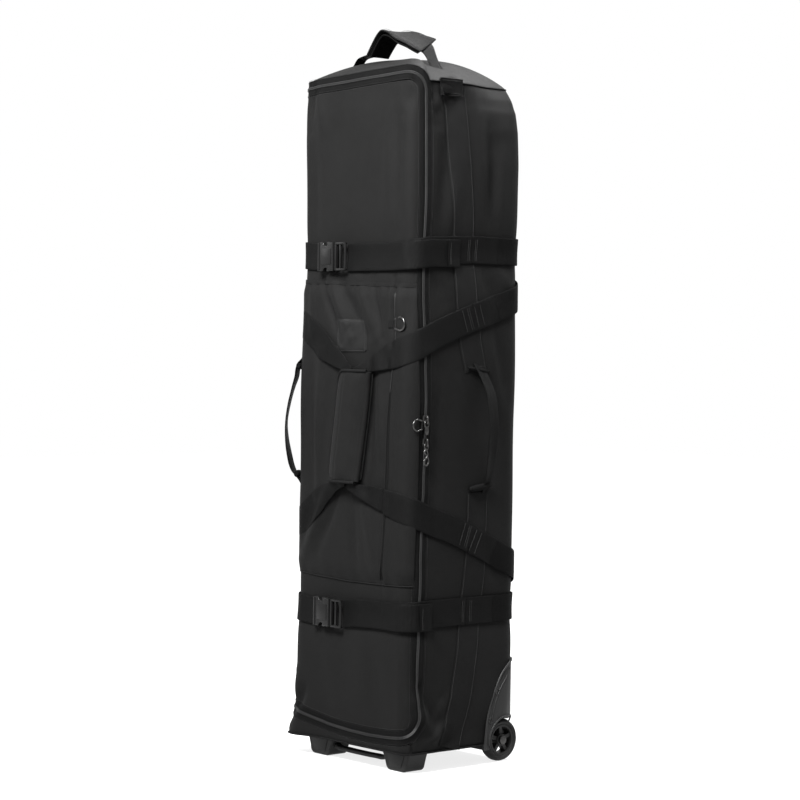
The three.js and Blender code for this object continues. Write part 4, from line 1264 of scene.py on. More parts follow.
# Round the case, height, width and height off the cloth.
UPPER_RIGHT = (
    (28, 728, 8, 20), (45, 731, 14, 17), (73, 740, 28, 12), (100, 750, 41, 8.5), (124, 758, 50, 6.4),
    (140, 764, 50, 4.8), (172, 780, 50, 3.2), (200, 793, 50, 3), (250, 812, 50, 3), (292.6, 827, 50, 3),
)
UPPER_LEFT = (
    (24, 729, 8, 19), (4, 735, 18, 16), (-17, 743, 29, 13), (-45, 755, 39, 10), (-66, 765, 46, 8),
    (-100, 788, 50, 6), (-130, 804, 50, 4.6), (-160, 815, 50, 3.4), (-200, 821, 50, 3), (-250, 825, 50, 3),
    (-292.6, 827, 50, 3),
)
LOWER_RIGHT = (
    (18, 515, 10, 20), (42, 509, 22, 15), (60, 504, 31, 11), (102, 494, 43, 8), (128, 486, 50, 6),
    (150, 478, 50, 4.4), (172, 469, 50, 3.2), (200, 458, 50, 3), (250, 440, 50, 3), (292.6, 422, 50, 3),
)
LOWER_LEFT = (
    (8, 519, 9, 19), (-12, 516, 14, 16), (-26, 512, 17, 14), (-51, 502, 29, 10), (-64, 496, 36, 9),
    (-93, 476, 50, 6.5), (-118, 458, 51, 5), (-145, 441, 50, 4), (-175, 431, 50, 3.2), (-230, 425, 50, 3),
    (-292.6, 422, 50, 3),
)


def loops():
    """Carry loops from the sides to the grip."""
    web_looks = [looks()["web"], looks()["thread"], looks()["dark_web"]]
    pairs = (("right", 1, UPPER_RIGHT, LOWER_RIGHT), ("left", -1, UPPER_LEFT, LOWER_LEFT))
    for side, hand, upper, lower in pairs:
        bench = Bench()
        for knots, slope in ((upper, -0.38 * hand), (lower, 0.35 * hand)):
            path = smooth_path(np.array(knots, float))
            add_web(bench, path[:, 0], path[:, 1], path[:, 2], path[:, 3], WEB_THICK, cross=9)
            for y in (-18.0, -3.0, -7.0):
                at = side_at(y)
                z = float(np.interp(at, [abs(k[0]) for k in knots], [k[1] for k in knots]))
                cross_stitch(bench, hand * at, z, 5.0, 20.0, slope=slope)
        z = np.linspace(512.0, 736.0, 60)
        add_web(
            bench, grip_middle(z) + hand * 10.0, z, 20.0, 14.0 + 4.0 * bell(z, 625.0, 100.0), 2.4, cross=5
        )
        made = bench.make("carry_loop_" + side + "_webbing", web_looks)
        if hand > 0:
            settle_bent(made, "shell", "right_loop", *RIGHT_BEND, "webbing", "carry_loop_right")
        else:
            settle_bent(made, "shell", "door", *LEFT_BEND, "webbing", "carry_loop_left")
    rises = (
        ("upper", ((293, 827), (363, 849), (SIDE_END, 856), (BACK_START, 877), (BACK_MIDDLE, 884))),
        ("lower", ((293, 422), (328, 406), (373, 384), (BACK_START, 352), (BACK_MIDDLE, 346))),
    )
    for name, course in rises:
        bench = Bench()
        for hand in (1, -1):
            s = spread(STITCH_SIDE + 0.4, side_at(62.0), 5.0)
            z = line(s, course)
            add_web(bench, hand * s, z, WEB, 3.0, WEB_THICK)
            s = spread(side_at(62.0) - 0.5, BACK_MIDDLE, 5.0)
            add_web(bench, hand * s, line(s, course), WEB - 1, 3.3, WEB_THICK, mark=2)
            for y in (9.0, 22.0):
                slope = (-0.33 if name == "upper" else 0.5) * hand
                cross_stitch(
                    bench, hand * side_at(y), float(line(side_at(y), course)), 5.0, 20.0, slope=slope
                )
        made = bench.make("carry_loop_behind_" + name, web_looks)
        settle(made, "shell", "webbing", "carry_loop_back_" + name)


GRIP_LOW = 523.0
GRIP_HIGH = 727.0
GRIP_LEFT = 52.0
GRIP_RIGHT = 36.0
GRIP_CORNER = 24.0


def grip():
    """Padded wrap that holds the two carry loops together."""
    low, high = GRIP_LOW, GRIP_HIGH
    z = spread(low, high, 4.0)
    round_off = GRIP_CORNER
    near = np.minimum(z - low, high - z)
    corner = round_off - np.sqrt(
        np.clip(round_off**2 - (round_off - np.minimum(near, round_off)) ** 2, 0, None)
    )
    t = np.concatenate([[0.0, 0.012, 0.03, 0.06], np.linspace(0.1, 0.9, 22), [0.94, 0.97, 0.99, 1.0]])
    middle = grip_middle(z)
    from_s = middle - GRIP_LEFT + corner
    to_s = middle + GRIP_RIGHT
    s = from_s[:, None] + (to_s - from_s)[:, None] * t
    zz = np.broadcast_to(z[:, None], s.shape)
    across = (s - (middle - GRIP_LEFT)[:, None]) / (GRIP_LEFT + GRIP_RIGHT)
    body_lift = 12.0 + 14.0 * ramp(across, -0.1, 0.45) - 3.0 * ramp(across, 0.75, 1.1)
    edge = np.minimum(np.minimum(t, 1 - t)[None, :] * (GRIP_LEFT + GRIP_RIGHT), near[:, None])
    puff = 3.4 * (1 - np.exp(-edge / 8.0))
    crease = -1.5 * bell(across, 0.36, 0.018) - 1.6 * bell(edge, 6.5, 1.2)
    wrinkle = 0.35 * np.sin(zz / 7.0 + across * 9.0) * bell(across, 0.6, 0.3) + 0.3 * np.sin(zz / 17.0)
    outer = skin(s, zz, body_lift + puff + crease + wrinkle)
    inner = skin(s, zz, body_lift - 3.0)
    bench = Bench().panel(outer, inner, flat_maps(s, zz))
    rim = np.concatenate([
        np.stack([s[0, ::-1][:-1], zz[0, ::-1][:-1], body_lift[0, ::-1][:-1]], 1),
        np.stack([s[:, 0], zz[:, 0], body_lift[:, 0]], 1),
        np.stack([s[-1, 1:], zz[-1, 1:], body_lift[-1, 1:]], 1),
    ])
    bench.tube(skin(rim[:, 0], rim[:, 1], rim[:, 2] + 0.4), 3.1, 10, mark=1)
    stitched = np.stack([s[3:-3, 4], zz[3:-3, 4], body_lift[3:-3, 4] + 2.4], 1)
    add_stitches(bench, skin(stitched[:, 0], stitched[:, 1], stitched[:, 2]), 3.0, 2.2, 0.4, mark=2)
    far = spread(low + 2, high - 2, 6.0)
    turn_s = grip_middle(far) + GRIP_RIGHT + 0.5
    bench.tube(skin(turn_s, far, np.full(far.shape, 19.0)), 5.6, 12, flat=0.9)
    made = bench.make("grip_wrap", [looks()["cloth"], looks()["binding"], looks()["thread"]])
    settle_bent(made, "door", "flap", (60, -165, 625), (32, -165, 625), "shell_fabric", "grip_flap")
    z = spread(low + 5, high - 5, 5.0)
    t = spread(0.0, 1.0, 0.06, False)
    s = grip_middle(z)[:, None] - 37.0 + 72.0 * t
    zz = np.broadcast_to(z[:, None], s.shape)
    crown = 2.2 * np.sin(np.pi * t)[None, :] * np.sin(
        np.pi * (z - z.min()) / (z.max() - z.min())
    )[:, None] ** 0.3
    pad = Bench().panel(skin(s, zz, 8.2 + crown), skin(s, zz, 6.6 + np.zeros_like(crown)), flat_maps(s, zz))
    made = pad.make("grip_back_pad", looks()["foam_cover"])
    settle(made, "door", "padding", "grip_pad")


# ---- Webbing on the sides, and the handles ----

BAND_LINE = (
    (36, -37), (130, -14), (234, 5), (300, 13), (400, 20), (493, 23), (600, 20), (730, 14), (780, 0),
    (859, -12), (1041, -25), (1217, -43), (1262, -47),
)


def add_ribbon(bench, path, across, width, thick, mark=0, crown=0.0):
    """Webbing along points in space, its width lying along the across directions."""
    path = np.asarray(path, float)
    across = np.broadcast_to(np.asarray(across, float), path.shape)
    across = across / np.linalg.norm(across, axis=1, keepdims=True)
    width = np.broadcast_to(np.asarray(width, float), (len(path),))
    thick = np.broadcast_to(np.asarray(thick, float), (len(path),))
    along = np.gradient(path, axis=0)
    along /= np.linalg.norm(along, axis=1, keepdims=True)
    out = np.cross(across, along)
    w = np.array([-0.5, -0.48, -0.42, *np.linspace(-0.33, 0.33, 7), 0.42, 0.48, 0.5])
    edge = np.array([0.8, 0.3, 0.06, *np.zeros(7), 0.06, 0.3, 0.8])
    bow = crown * (0.25 - w**2) * 4
    base = path[:, None, :] + across[:, None, :] * (width[:, None] * w)[..., None]
    outer = base + out[:, None, :] * (thick[:, None] * (0.5 - edge / 2) + bow)[..., None]
    inner = base - out[:, None, :] * (thick[:, None] * (0.5 - edge / 2) - bow)[..., None]
    run = np.concatenate([[0.0], np.cumsum(np.linalg.norm(np.diff(path, axis=0), axis=1))])
    maps = np.stack([np.broadcast_to(run[:, None], (len(path), len(w))), width[:, None] * w], -1) * MM
    return bench.panel(outer, inner, maps, mark, mark)


def curve(knots, step=3.0):
    """A smooth line through points in space, with any further columns filled in too."""
    knots = np.asarray(knots, float)
    run = np.concatenate([[0.0], np.cumsum(np.linalg.norm(np.diff(knots[:, :3], axis=0), axis=1))])
    slope = np.gradient(knots, run, axis=0)
    rows = []
    for t in np.linspace(0, run[-1], max(4, int(run[-1] / step))):
        i = min(max(np.searchsorted(run, t) - 1, 0), len(run) - 2)
        h = run[i + 1] - run[i]
        u = (t - run[i]) / h
        rows.append(
            (2 * u**3 - 3 * u**2 + 1) * knots[i]
            + (u**3 - 2 * u**2 + u) * h * slope[i]
            + (3 * u**2 - 2 * u**3) * knots[i + 1]
            + (u**3 - u**2) * h * slope[i + 1]
        )
    return np.array(rows)


def side_bands():
    """Webbing bands down both sides."""
    parts = (("upper_right", 1, 728.0, 1243.0), ("lower_right", 1, 42.0, 507.0), ("left", -1, 42.0, 1243.0))
    for part, hand, low, high in parts:
        bench = Bench()
        z = spread(low, high, 6.0)
        s = side_at(0.0) + line(z, BAND_LINE)
        add_web(bench, hand * s, z, WEB + 2, 0.2, 1.1)
        for off in (-23.5, 23.5):
            add_stitches(bench, skin(hand * (s + off), z, 1.45), 4.4, 3.2, 0.34, mark=1)
        if part == "upper_right":
            run = np.linspace(-22, 22, 12)
            for up in (4.0, 10.0):
                add_stitches(bench, skin(s[0] + run, np.full(12, low + up), 1.5), 3.2, 2.4, 0.4, mark=1)
        made = bench.make("side_webbing_" + part, [looks()["binding"], looks()["thread"]])
        settle(made, "shell", "webbing", "side_band_" + part)


RIGHT_HANDLE = (
    (163.0, 20, 744, 30), (166.0, 22, 737, 28), (170.0, 25, 727, 26), (178.0, 30, 708, 26),
    (186.0, 33, 688, 28),
    (195.0, 31, 655, 31), (199.0, 29, 625, 32), (196.0, 30, 590, 31), (189.0, 33, 562, 28),
    (179.0, 38, 540, 24),
    (171.0, 41, 524, 21), (166.5, 42, 514, 20), (163.0, 42, 506, 20),
)
# Out from the corner's axis, height, width and turn of the webbing.
CORNER_HANDLE = (
    (27.5, 752, 26, 0), (31.0, 745, 26, 0), (37.5, 738, 25, -2), (41.5, 726, 25, -3), (43.0, 714, 27, -1),
    (49.6, 692, 36, 7), (57.8, 660, 40, 10), (63.0, 624, 42, 12), (61.0, 590, 38, 7), (55.8, 562, 30, -1),
    (51.6, 545, 26, -5), (46.5, 533, 25, -4), (39.0, 524, 25, 0), (32.0, 515, 25, 0), (27.5, 507, 25, 0),
)
CORNER_TURN = math.radians(214.6)


def side_handles():
    """Webbing grab handles: one on the side and one on the corner by the hinge."""
    look = [looks()["web"], looks()["dark_web"]]
    path = curve(RIGHT_HANDLE)
    twist = np.stack([np.full(len(path), -0.25), np.ones(len(path)), np.full(len(path), 0.12)], 1)
    bench = Bench()
    add_ribbon(bench, path[:, :3], twist, path[:, 3], 2.2, crown=1.4)
    add_roll(bench, np.array([166.5, 19.0, 731.0]), np.array([0.0, 1.0, -0.14]), 3.6, 26.0)
    add_roll(bench, np.array([168.5, 25.0, 516.0]), np.array([0.0, 1.0, 0.12]), 5.6, 27.0)
    made = bench.make("side_handle_strap", look)
    settle_bent(made, "shell", "handle_r", (164, 0, 637), (178, 0, 637), "webbing", "side_handle_right")
    out = np.array([math.cos(CORNER_TURN), math.sin(CORNER_TURN), 0.0])
    side = np.array([-out[1], out[0], 0.0])
    base = np.array([-FRONT_FLAT, -DEPTH / 2 + FRONT_RADIUS, 0.0])
    rows = curve([(r, 0.0, z, w, math.radians(a)) for r, z, w, a in CORNER_HANDLE])
    path = base + out * rows[:, :1] + np.array([0.0, 0.0, 1.0]) * rows[:, 2:3]
    across = side * -np.cos(rows[:, 4:5]) - out * -np.sin(rows[:, 4:5])
    bench = Bench()
    add_ribbon(bench, path, -across, rows[:, 3], 2.3, crown=0.8)
    for r, z in ((36.5, 732.0), (38.5, 528.0)):
        add_roll(bench, base + out * r + np.array([0.0, 0.0, z]), side, 6.4)
    made = bench.make("corner_handle_strap", look)
    start, end = base + out * 30.0, base + out * 44.0
    settle_bent(
        made, "door", "handle_l", (start[0], start[1], 630), (end[0], end[1], 630), "webbing",
        "side_handle_left",
    )


def add_roll(bench, centre, axis, radius, half=13.5):
    """The rolled end of a handle's webbing."""
    roll = np.linspace(-half, half, 10)
    size = radius * np.sqrt(np.clip(1 - (roll / (half * 1.08)) ** 4, 0.05, 1))
    return bench.tube(centre + axis * roll[:, None], size, 12, mark=1, flat=1.1)


TOP_STRAP = (
    (164.2, -57, 1230, 50), (164.6, -57, 1243, 50), (160, -56, 1254, 46), (146, -54, 1260, 36),
    (130, -51, 1266, 28),
    (118, -50, 1277, 25), (106, -49, 1291, 24), (97, -47, 1303, 25), (84, -44, 1316, 30),
    (60, -42, 1327, 38),
    (26, -42, 1338, 44), (0, -42, 1347, 46), (-19, -42, 1347, 44), (-36, -43, 1334, 38),
    (-54, -49, 1317, 30),
    (-68, -56, 1313, 26), (-81, -60, 1309, 24), (-94, -60, 1297, 24), (-108, -60, 1286, 28),
    (-128, -59, 1276, 36),
    (-148, -58, 1267, 44), (-160.5, -57, 1256, 49), (-164.6, -57, 1243, 50), (-164.2, -57, 1230, 50),
)
TOP_WRAP = (
    (80, -40, 1324, 58), (62, -41, 1331, 60), (47, -41, 1337, 60), (26, -42, 1345, 60), (0, -42, 1355, 59),
    (-16, -42, 1356, 58), (-28, -42, 1349, 56), (-40, -42, 1337, 54), (-58, -42, 1315, 52),
)
# How far the width drops, and how far it runs along the case, for each step to the front.
TOP_TILT = (
    (-165, 0.0), (-110, -0.15), (-60, 0.0), (-15, 0.0), (0, -0.06), (26, -0.25), (47, -0.3), (80, -0.54),
    (110, -0.35), (150, -0.1), (165, 0.0),
)
TOP_SKEW = ((-60, 0.0), (20, 0.0), (80, 0.3))


def top_handle():
    """Top carry handle: webbing, its sewn tabs and the padded wrap."""
    path = curve(TOP_STRAP)
    twist = np.stack([np.zeros(len(path)), -np.ones(len(path)), line(path[:, 0], TOP_TILT)], 1)
    bench = Bench()
    add_ribbon(bench, path[:, :3], twist, path[:, 3], 2.1)
    made = bench.make("top_handle_strap", looks()["web"])
    settle_bent(made, "shell", "top_grip", (0, -45, 1262), (0, -45, 1304), "webbing", "top_handle_webbing")
    wrap = Bench()
    over = curve(TOP_WRAP)
    lean_over = np.stack([line(over[:, 0], TOP_SKEW), -np.ones(len(over)), line(over[:, 0], TOP_TILT)], 1)
    add_ribbon(wrap, over[:, :3], lean_over, over[:, 3], 4.2, crown=2.2)
    half_w = over[:, 3] / 2
    unit = lean_over / np.linalg.norm(lean_over, axis=1, keepdims=True)
    for hand in (1, -1):
        wrap.tube(over[:, :3] + unit * (hand * half_w)[:, None], 1.7, 8, mark=1)
        run = over[:, :3] + unit * (hand * (half_w - 7.0))[:, None] + np.array([0.0, 0.0, 2.9])
        add_stitches(wrap, run[2:-2], 3.2, 2.3, 0.4, mark=2)
    rows = np.linspace(-1, 1, 12)
    for end in (0, -1):
        wrap.tube(over[end, :3] + unit[end] * (rows * half_w[end])[:, None], 1.7, 8, mark=1)
    under = over[3:-2].copy()
    under[:, 2] -= 8.5
    under[:, 3] -= 7.0
    add_ribbon(wrap, under[:, :3], lean_over[3:-2], under[:, 3], 5.0, mark=3, crown=-1.2)
    made = wrap.make(
        "top_handle_wrap", [looks()["cloth"], looks()["binding"], looks()["thread"], looks()["dark_web"]]
    )
    settle(made, "top_grip", "shell_fabric", "top_handle_grip")
    tabs = Bench()
    for hand in (1, -1):
        z = spread(1226.0, 1256.0, 3.0)
        s = np.full(z.shape, hand * side_at(-57.0))
        add_web(tabs, s, z, 54.0, 4.6, 2.0, cross=7)
        rows = np.linspace(-24, 24, 14)
        for up in (1229.5, 1252.0):
            add_stitches(
                tabs, skin(hand * side_at(-57.0) + rows, np.full(14, up), 6.9), 3.2, 2.3, 0.42, mark=1
            )
        tabs.tube(skin(hand * side_at(-57.0) + rows * 1.1, np.full(14, 1225.6), 5.6), 1.8, 8)
    settle(tabs.make("top_handle_tabs", [looks()["web"], looks()["thread"]]), "shell", "webbing")


# ---- Hardware ----


def d_ring(bench, centre, bar, bow, wire, plane="yz", hand=-1.0):
    """A D-ring: a straight bar and a bow of round wire."""
    half = bar / 2
    turn = np.linspace(-math.pi / 2, math.pi / 2, 22)
    points = [(0.0, u) for u in np.linspace(half * 0.7, -half * 0.7, 7)]
    points += [
        (bow - half + half * math.cos(t) if bow > half else bow * math.cos(t), half * math.sin(t))
        for t in turn
    ]
    ring = []
    for across, up in points:
        a = hand * across
        ring.append(
            (centre[0], centre[1] + a, centre[2] + up)
            if plane == "yz"
            else (centre[0] + a, centre[1], centre[2] + up)
        )
    return bench.tube(ring, wire, 10, closed=True)


def zip_hardware():
    """Sliders, pulls and both D-rings with their tabs."""
    metal = looks()["metal"]
    face_x = WIDTH / 2 + 3.0
    y = -107.0
    for name, z, body, node in (
        ("upper", 641.0, "slider_u", "zip_slider_upper"), ("lower", 600.0, "slider_l", "zip_slider_lower")
    ):
        bench = Bench()
        flip = 1 if name == "upper" else -1
        shape = [
            (y - 6.5, z - 7.5 * flip), (y - 7.0, z + 2 * flip), (y - 5.5, z + 8 * flip),
            (y - 1.5, z + 9 * flip), (y, z + 6.5 * flip), (y + 1.5, z + 9 * flip),
            (y + 5.5, z + 8 * flip), (y + 7.0, z + 2 * flip), (y + 6.5, z - 7.5 * flip),
        ]
        bench.prism(shape if flip < 0 else shape[::-1], face_x - 0.6, face_x + 2.2, "x", 0.9)
        arch = [
            (face_x + 1.6, y, z + 6.0), (face_x + 5.0, y, z + 5.0), (face_x + 6.4, y, z),
            (face_x + 5.0, y, z - 5.0), (face_x + 1.6, y, z - 6.0),
        ]
        bench.tube(curve(arch, 1.0), 1.7, 8, flat=1.5)
        settle(bench.make("slider_" + name, metal), body, "hardware", node)
    x = face_x + 4.2
    upper = Bench()
    link = [
        (x, y + 4.6 * math.sin(t), 633.5 + 6.6 * math.cos(t))
        for t in np.linspace(0, 2 * math.pi, 24, endpoint=False)
    ]
    upper.tube(link, 1.25, 8, closed=True)
    upper.prism(
        [
            (y - 3.8, 629.5), (y + 3.8, 629.5), (y + 4.6, 620.0), (y + 2.5, 614.5), (y - 2.5, 614.5),
            (y - 4.6, 620.0),
        ][::-1],
        x - 1.3,
        x + 1.3,
        "x",
        1.0,
    )
    settle(upper.make("pull_upper", metal), "pull_u", "hardware", "zip_pull_upper")
    lower = Bench()
    link = [
        (x, y + 4.2 * math.sin(t), 593.5 + 5.4 * math.cos(t))
        for t in np.linspace(0, 2 * math.pi, 24, endpoint=False)
    ]
    lower.tube(link, 1.2, 8, closed=True)
    hook = [
        (x, y - 1.0, 589.0), (x, y - 4.5, 583.0), (x, y + 0.5, 577.5), (x, y + 5.0, 570.5),
        (x, y + 4.6, 563.0), (x, y, 559.5), (x, y - 4.8, 562.5), (x, y - 4.4, 569.0), (x, y + 0.5, 573.5),
        (x + 0.5, y + 3.0, 580.0), (x, y + 0.5, 587.0),
    ]
    lower.tube(curve(hook, 1.2), 1.35, 8)
    settle(lower.make("pull_lower", metal), "pull_l", "hardware", "zip_pull_lower")
    ring = d_ring(Bench(), (face_x + 1.6, -114.5, 632.0), 21.0, 22.0, 1.45)
    settle(ring.make("zip_d_ring", metal), "ring_z", "hardware", "zip_ring")
    tab = Bench()
    s = np.linspace(ZIP - 22.0, ZIP - 5.0, 10)
    add_web(tab, s, np.full(10, 632.0), 15.0, 1.3, 1.3, cross=3)
    bar = np.linspace(625.0, 639.0, 8)
    tab.tube(skin(np.full(8, side_at(-114.5)), bar, 4.2), 2.6, 8)
    settle(tab.make("zip_d_ring_tab", looks()["web"]), "door", "webbing", "zip_ring_tab")
    spot = skin(118.0, 812.0, pocket_lift(np.array(118.0), np.array(812.0)))
    ring = d_ring(Bench(), (120.5, float(spot[1]) - 4.4, 813.0), 24.0, 26.0, 1.8, "xz", 1.0)
    settle(ring.make("pocket_d_ring", metal), "ring_p", "hardware", "pocket_ring")
    tab = Bench()
    s = np.linspace(104.0, 120.0, 8)
    add_web(tab, s, np.full(8, 813.0), 15.0, pocket_lift(s, np.full(8, 813.0)) + 0.4, 1.3, cross=3)
    bar = np.linspace(806.0, 820.0, 8)
    tab.tube(np.stack([np.full(8, 120.5), np.full(8, float(spot[1]) - 4.4), bar], 1), 2.5, 8)
    settle(tab.make("pocket_d_ring_tab", looks()["web"]), "door", "webbing", "pocket_ring_tab")


# ---- Wheels, housings and feet ----

HOUSING_EDGE = ((52, 28), (56, 80), (73, 135), (113, 186), (138, 192))


def soften(node, width, look):
    """Gives a frame node its finish, with its sharp edges rounded off."""
    node.data.materials.clear()
    node.data.materials.append(look)
    weld = node.modifiers.new("weld", "WELD")
    weld.merge_threshold = 0.00002
    if width:
        edge = node.modifiers.new("edge", "BEVEL")
        edge.width = width * MM
        edge.segments = 2
        edge.limit_method = "ANGLE"
        edge.angle_limit = math.radians(40)
        edge.harden_normals = False
    node.data.polygons.foreach_set("use_smooth", [True] * len(node.data.polygons))


WHEEL_Y = 110.0
WHEEL_Z = 40.0
ARCH = 48.0
ARCH_FOOT = 30.0
SCREWS = ((82, 134), (66, 82))
SCREW_RIM = 5.2


def running_gear():
    """Wheels, their housings with raised rims, and the screws."""
    nodes = frame["nodes"]
    for side in ("right", "left"):
        soften(nodes["wheel_housing_" + side], 0.8, looks()["matte"])
        soften(nodes["wheel_tyre_" + side], 0.6, looks()["rubber"])
        soften(nodes["wheel_hub_" + side], 0.5, looks()["hub"])
        soften(nodes["axle_" + side], 0.4, looks()["steel"])
        for row in ("upper", "lower"):
            soften(nodes["housing_screw_" + row + "_" + side], 0.25, looks()["steel"])
    for side, hand in (("right", 1), ("left", -1)):
        bench = Bench()
        edge = np.array(HOUSING_EDGE, float)
        lift = 2.6

        def at(points, out):
            """Points off the side wall along knots of y and z."""
            rows = curve([(p[0], p[1], 0.0) for p in points], 3.0)
            s = SIDE_START + rows[:, 0] + DEPTH / 2 - FRONT_RADIUS
            x, y = outline(s, np.full(s.shape, out))
            return np.stack([hand * x, y, rows[:, 1]], 1)

        bench.tube(at(edge + [0.8, -0.4], lift), 2.0, 8)
        inset = np.array([[64.5, 30], [68, 78], [84, 131], [117, 176]], float)
        bench.tube(at(inset, lift + 0.1), 0.9, 6)
        turn = np.linspace(math.radians(200), math.radians(20), 26)
        round_wheel = [(WHEEL_Y + ARCH * math.cos(t), WHEEL_Z + ARCH * math.sin(t)) for t in turn]
        arch = [point for point in round_wheel if point[1] > ARCH_FOOT]
        bench.tube(at(arch, lift), 1.6, 8)
        for y, z in SCREWS:
            round_screw = np.linspace(0, 2 * math.pi, 24, endpoint=False)
            x = hand * (WIDTH / 2 + 2.7)
            ring = [(x, y + SCREW_RIM * math.cos(t), z + SCREW_RIM * math.sin(t)) for t in round_screw]
            bench.tube(ring, 0.8, 6, closed=True)
        settle(bench.make("housing_rims_" + side, looks()["matte"]), "shell", "moulding")


FOOT_ROUND = 12.0
FOOT_LIFT = 12.6


def feet():
    """Front feet and the grab bar between them."""
    for side, hand in (("right", 1), ("left", -1)):
        shape = []
        turn = np.linspace(math.radians(200), math.radians(270), 7)
        shape += [(67.0, 37.5), (76.0, 22.0)]
        shape += [(92 + FOOT_ROUND * math.cos(t), FOOT_LIFT + FOOT_ROUND * math.sin(t)) for t in turn]
        turn = np.linspace(math.radians(270), math.radians(345), 7)
        shape += [(126 + FOOT_ROUND * math.cos(t), FOOT_LIFT + FOOT_ROUND * math.sin(t)) for t in turn]
        shape += [(142.5, 26.0), (147.0, 37.5)]
        shape = [(hand * a, b) for a, b in shape]
        bench = Bench().prism(shape[::-1] if hand > 0 else shape, -119.0, -73.0, "y", 4.0, 4)
        rib = [(hand * a, b) for a, b in ((84, 36), (94, 8), (124, 8), (134, 36))]
        bench.prism(rib[::-1] if hand > 0 else rib, -120.2, -110.0, "y", 1.5, 2)
        settle(bench.make("foot_block_" + side, looks()["matte"]), "shell", "moulding", "foot_" + side)
    bar = Bench()
    rows = curve(
        [
            (-82, -104, 26), (-70, -105, 19.5), (-40, -105, 17.5), (0, -105, 17.0), (40, -105, 17.5),
            (70, -105, 19.5), (82, -104, 26),
        ],
        4.0,
    )
    add_ribbon(bar, rows, (0.0, -1.0, 0.0), 15.0, 7.5, crown=0.8)
    settle(bar.make("grab_bar_moulding", looks()["matte"]), "shell", "moulding", "grab_bar")


BOARD_HALF = 109.0
BOARD_DEPTH = (129.6, 133.6)
BOARD_RUN = (200.0, 1180.0)
HEAD_PAD_HALF = 118.0
HEAD_PAD_MIDDLE = 1080.0
HEAD_PAD_RISE = 115.0


def inside():
    """Stiffening board and the head pad behind the door."""
    board = Bench()
    board.box((-BOARD_HALF, BOARD_HALF), BOARD_DEPTH, BOARD_RUN, 1.5)
    settle(board.make("lined_board", looks()["lining"]), "shell", "lining", "back_stiffener")
    u = spread(-1.0, 1.0, 0.05, False)
    a, b = np.meshgrid(u, u)
    x = a * HEAD_PAD_HALF * (1 - 0.03 * b**2)
    z = HEAD_PAD_MIDDLE + b * HEAD_PAD_RISE * (1 - 0.03 * a**2)
    edge = np.clip(1 - np.maximum(np.abs(a), np.abs(b)) ** 4, 0, 1) ** 0.6
    cradle = 7.0 * bell(a, 0.0, 0.42)
    tuft = 1.6 * (bell(a, -0.55, 0.03) + bell(a, 0.55, 0.03))
    front = 118.0 - 11.0 * edge + cradle * edge + tuft * edge
    back = np.full(front.shape, 127.5)
    outer, inner = np.stack([x, front, z], -1), np.stack([x, back, z], -1)
    pad = Bench().panel(outer, inner, np.stack([x, z], -1) * MM)
    rim = np.concatenate([outer[0, :-1], outer[:-1, -1], outer[-1, :0:-1], outer[:0:-1, 0]])
    pad.tube(rim + [0, 3.0, 0], 2.0, 8, closed=True, mark=1)
    made = pad.make("head_cushion", [looks()["foam_cover"], looks()["binding"]])
    settle(made, "shell", "padding", "head_pad")


# ---- Stage ----


# Soft boxes: name, place, aim and size in metres, and share of the key light's power
LAMPS = (
    ("key_box", (0.75, -1.75, 2.55), (0.02, -0.12, 1.15), (1.2, 0.9), 1.0),
    ("left_box", (-2.2, -1.6, 2.0), (0.0, 0.0, 0.8), (0.6, 1.8), 0.035),
    ("top_box", (0.3, 1.2, 3.0), (0.0, 0.0, 1.3), (1.6, 0.8), 0.42),
)
FLOOR_REACH = 9000.0
FLOOR_THICK = 20.0
FLOOR_GAP = 0.2

# Camera: lens in mm, angles in degrees, places in metres
LENS = 108.0
SENSOR = 36.0
VIEW_SWING = 49.0
VIEW_DIP = 1.671
VIEW_ROLL = 0.8
VIEW_PLACE = (3.3829, -2.9592, 0.8021)
VIEW_REACH = 60.0


def lamp(name, place, aim, size, power, shade=(1.0, 1.0, 1.0)):
    """A soft box looking at a point; places in metres."""
    data = bpy.data.lights.new(name, "AREA")
    data.shape = "RECTANGLE"
    data.size, data.size_y = size
    data.energy = power
    data.color = shade
    made = bpy.data.objects.new(name, data)
    bpy.context.collection.objects.link(made)
    made.location = place
    made.rotation_mode = "QUATERNION"
    made.rotation_quaternion = (Vector(aim) - Vector(place)).to_track_quat("-Z", "Y")
    return made


